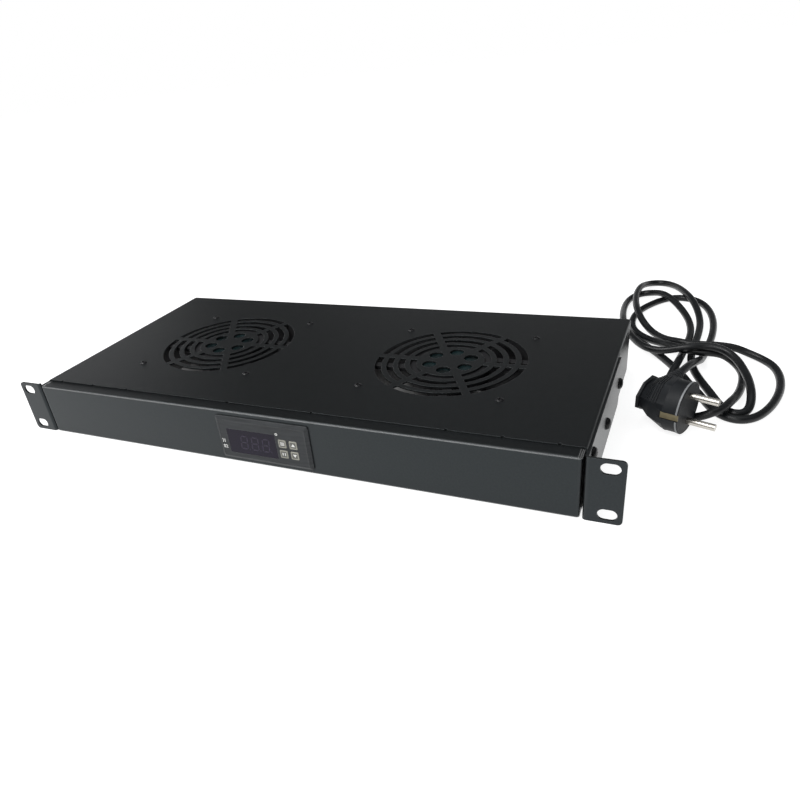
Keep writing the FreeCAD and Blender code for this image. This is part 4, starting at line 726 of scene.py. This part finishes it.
# points on the cord's middle line from the rear wall to the plug, in millimetres above the floor
CORD_ROUTE = [
    (150, 250, 19), (150, 261, 19), (151, 276, 13.5), (156, 291, 7), (169, 300, 3), (190, 297, 3),
    (209, 283, 3), (220, 267, 3), (229, 253, 3), (237, 243, 3), (245, 230, 3), (253, 216, 3),
    (261, 200, 3), (267.5, 184, 3), (274.5, 170, 3), (280, 156, 3), (286, 145, 3), (294, 138, 3),
    (303, 137, 3), (311, 142.5, 3), (318, 154, 3), (324, 171, 3), (328, 191, 3), (328.5, 212, 3),
    (325, 230, 3), (317.5, 242, 3), (307, 248, 5), (296, 248.5, 9), (284, 248, 10.2),
    (273, 247.3, 10.2), (263, 247, 10.2), (254, 251, 10.2), (245, 262, 6.5), (237, 276, 3.4),
    (229, 289, 3), (221, 301, 6.5), (214.5, 317, 10.2), (210, 341, 10.2), (208, 366, 10.2),
    (209.5, 388, 9.6), (213, 408, 5.5), (221, 420, 3.2), (232, 419, 3.4), (242.5, 402, 6.5),
    (251.5, 377, 9.8), (260, 354, 9.8), (266, 334, 6), (269, 314, 3.2), (269, 293, 3),
    (267.5, 271, 3), (265.8, 252, 3), (265, 233, 3), (268, 213, 3), (274, 194, 3), (281, 176, 3),
    (286, 162, 3), (290, 152.5, 3), (296, 145.5, 3), (303.5, 146.5, 3), (307.5, 155, 4),
    (308, 167, 8.5), (306.5, 184, 10), (303, 201, 11), (298, 215, 13), (291, 224.5, 15),
    (283, 228, 16.8), (274, 229, 16.8), (265.5, 227, 16.8), (257, 226.5, 15), (249, 228, 12),
    (241, 229.5, 10.2), (232, 232, 10.2), (224, 241, 10.2), (216, 256, 10.2), (209, 274, 10.2),
    (204, 295, 10.2), (200.5, 328, 6), (200, 358, 3.2), (204, 376, 3), (212, 386, 3), (222, 384, 5),
    (231.5, 371, 9.6), (241, 356, 9.8), (250, 342, 6.5), (257, 327, 3.4), (261, 308, 3),
    (262.5, 287, 3), (261, 266, 3), (259, 249, 3), (257.5, 234, 3.4), (257, 220, 8.3),
    (256, 206, 10.8), (253, 194, 7.5), (250, 181, 3.6), (249, 166, 3), (253.5, 151, 3), (262, 139, 3),
    (270.5, 133, 3), (278, 131, 6.5), (285.5, 132.5, 10.2), (290.5, 139, 10.2), (294.5, 149.5, 10.2),
    (299, 167, 6.5), (302, 187, 3.2), (303.5, 206, 3), (301.5, 220, 3.2), (296, 230, 5),
    (288.5, 233, 8.5), (281, 231, 10.6), (273, 230.5, 10.6), (265, 232, 10.6), (257, 235.5, 10.2),
    (249, 242, 10.2), (240.5, 255, 6), (231, 267, 3), (222, 276, 3), (214.5, 289, 3), (211, 306, 3),
    (211.5, 325, 3), (216, 341, 3), (223, 356, 3), (232, 369, 3), (241, 376.5, 3), (251.5, 377.5, 3),
    (262, 373, 3), (271, 360, 3), (277, 340, 3), (280, 315, 3), (280, 290, 3), (278, 268, 3),
    (275.5, 248.5, 3), (273, 232, 3.2), (271.5, 218.5, 9), (269.5, 205, 13.8), (266, 192.5, 17.2),
    (262.7, 181.9, 18.5), (258.7, 170.6, 18.5),
]


def make_cord(name, route, diameter):
    """Round cord along a route."""
    curve = bpy.data.curves.new(name, "CURVE")
    curve.dimensions = "3D"
    curve.bevel_depth = diameter / 2
    curve.bevel_resolution = 6
    curve.use_fill_caps = True
    spline = curve.splines.new("NURBS")
    spline.points.add(len(route) - 1)
    for point, (x, y, z) in zip(spline.points, route):
        point.co = (x, y, z, 1)
    spline.order_u = 3
    spline.use_endpoint_u = True
    spline.resolution_u = 8
    curve.materials.append(MATERIALS["pvc"])
    return placed(name, curve)


cord = make_cord("mains_cord", [(x * MM, y * MM, z * MM + FLOOR_Z) for x, y, z in CORD_ROUTE], 0.006)
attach(cord, "tray")
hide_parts("power_cord")


# ---------------------------------------------------------------- stage, light and camera

FLOOR_REACH = 6.0
FLOOR_GLOW = 0.84
SHADOW_SHARE = 0.35
ROOM_STRENGTH = 0.55
# brightness that a glossy surface meets by the height of the direction it looks in, and a factor
# on it by the direction's x, moved from -1..1 to 0..1
ROOM_HEIGHTS = [(0.04, (1, 1, 1)), (0.13, (0.45, 0.45, 0.459)), (0.22, (0.12, 0.12, 0.1224)),
                (0.60, (0.08, 0.08, 0.0816)), (1.0, (0.30, 0.31, 0.32))]
ROOM_SIDES = [(0.11, (2.6, 2.6, 2.6)), (0.145, (1.9, 1.9, 1.9)), (0.18, (0.35, 0.35, 0.35)),
              (0.24, (0.5, 0.5, 0.5)), (0.30, (1, 1, 1))]
# name, place, target, width and height in metres, and power in watts
LIGHTS = [
    ("front_box", (-0.3, -1.9, 0.9), (0.0, 0.05, 0.0), (1.6, 1.0), 14),
    ("top_box", (0.3, 0.4, 1.9), (0.0, 0.1, 0.0), (1.8, 1.4), 5),
    ("over_box", (-0.75, -0.52, 1.62), (0.0, 0.05, 0.0), (1.9, 0.7), 34),
]
CAMERA_PLACE = (0.26413, -0.33214, 0.23553)
CAMERA_RIGHT = Vector((0.90269, 0.41566, -0.11125))
CAMERA_BACK = Vector((0.41108, -0.75666, 0.50841)).normalized()
LENS = 30.395
SHIFT = (0.0374, 0.0514)


def any_ray(tree, *kinds):
    """Output that is 1 for the named kinds of ray."""
    path = tree.nodes.new("ShaderNodeLightPath")
    found = path.outputs[kinds[0]]
    for kind in kinds[1:]:
        larger = tree.nodes.new("ShaderNodeMath")
        larger.operation = "MAXIMUM"
        tree.links.new(found, larger.inputs[0])
        tree.links.new(path.outputs[kind], larger.inputs[1])
        found = larger.outputs[0]
    return found


def mixed(tree, factor, first, second):
    """Output of a mix of two shaders."""
    mix = tree.nodes.new("ShaderNodeMixShader")
    for source, socket in zip((factor, first, second), mix.inputs):
        tree.links.new(source, socket)
    return mix.outputs[0]


def backdrop(name):
    """Pale material that shows white behind the object and keeps the object's shadow."""
    mat = bpy.data.materials.new(name)
    mat.use_nodes = True
    tree = mat.node_tree
    tree.nodes.remove(tree.nodes["Principled BSDF"])
    plain = tree.nodes.new("ShaderNodeBsdfDiffuse")
    plain.inputs["Color"].default_value = (0.8, 0.8, 0.8, 1)
    shade = tree.nodes.new("ShaderNodeBsdfDiffuse")
    shade.inputs["Color"].default_value = (SHADOW_SHARE, SHADOW_SHARE, SHADOW_SHARE, 1)
    glow = tree.nodes.new("ShaderNodeEmission")
    glow.inputs["Strength"].default_value = FLOOR_GLOW
    both = tree.nodes.new("ShaderNodeAddShader")
    tree.links.new(shade.outputs[0], both.inputs[0])
    tree.links.new(glow.outputs[0], both.inputs[1])
    seen = any_ray(tree, "Is Camera Ray", "Is Glossy Ray", "Is Transmission Ray")
    tree.links.new(mixed(tree, seen, plain.outputs[0], both.outputs[0]),
                   tree.nodes["Material Output"].inputs["Surface"])
    return mat


def make_floor():
    """Wide pale floor under the object."""
    mesh = bpy.data.meshes.new("floor")
    corners = ((-1, -1), (1, -1), (1, 1), (-1, 1))
    mesh.from_pydata([(x * FLOOR_REACH, y * FLOOR_REACH, FLOOR_Z) for x, y in corners], [], [(0, 1, 2, 3)])
    mesh.materials.append(backdrop("pale_floor"))
    floor = placed("floor", mesh)


def make_world():
    """Even light on the object, a dim room in its gloss, and white behind it."""
    world = bpy.data.worlds.new("studio")
    bpy.context.scene.world = world
    world.use_nodes = True
    world.cycles.sampling_method = "NONE"
    tree = world.node_tree
    background = tree.nodes["Background"]
    background.inputs["Color"].default_value = (0.96, 0.98, 1.0, 1)
    background.inputs["Strength"].default_value = ROOM_STRENGTH
    direction = tree.nodes.new("ShaderNodeTexCoord")
    parts = tree.nodes.new("ShaderNodeSeparateXYZ")
    tree.links.new(direction.outputs["Generated"], parts.inputs[0])
    heights = tree.nodes.new("ShaderNodeValToRGB")
    fill_ramp(heights, ROOM_HEIGHTS)
    tree.links.new(parts.outputs["Z"], heights.inputs["Fac"])
    across = tree.nodes.new("ShaderNodeMapRange")
    across.inputs["From Min"].default_value = -1.0
    tree.links.new(parts.outputs["X"], across.inputs["Value"])
    sides = tree.nodes.new("ShaderNodeValToRGB")
    fill_ramp(sides, ROOM_SIDES)
    tree.links.new(across.outputs["Result"], sides.inputs["Fac"])
    room = tree.nodes.new("ShaderNodeBackground")
    tree.links.new(heights.outputs["Color"], room.inputs["Color"])
    tree.links.new(sides.outputs["Color"], room.inputs["Strength"])
    white = tree.nodes.new("ShaderNodeBackground")
    white.inputs["Color"].default_value = (1, 1, 1, 1)
    gloss = mixed(tree, any_ray(tree, "Is Glossy Ray"), background.outputs[0], room.outputs[0])
    seen = any_ray(tree, "Is Camera Ray", "Is Transmission Ray")
    tree.links.new(mixed(tree, seen, gloss, white.outputs[0]), tree.nodes["World Output"].inputs["Surface"])


def soft_light(name, place, target, size, power):
    """Area light that looks at a target."""
    lamp = bpy.data.lights.new(name, "AREA")
    lamp.shape = "RECTANGLE"
    lamp.size, lamp.size_y = size
    lamp.energy = power
    item = placed(name, lamp)
    item.location = place
    item.rotation_euler = (Vector(target) - Vector(place)).to_track_quat("-Z", "Y").to_euler()


def make_camera():
    """Camera with the framing of the object's front right view."""
    data = bpy.data.cameras.new("camera")
    data.sensor_width = 36.0
    data.lens = LENS
    data.shift_x, data.shift_y = SHIFT
    data.clip_start = 0.01
    camera = placed("camera", data)
    up = CAMERA_BACK.cross(CAMERA_RIGHT).normalized()
    right = up.cross(CAMERA_BACK).normalized()
    turned = Matrix((right, up, CAMERA_BACK)).transposed().to_4x4()
    camera.matrix_world = Matrix.Translation(CAMERA_PLACE) @ turned
    bpy.context.scene.camera = camera


make_floor()
make_world()
for light in LIGHTS:
    soft_light(*light)
make_camera()
bpy.context.scene.view_settings.view_transform = "Standard"
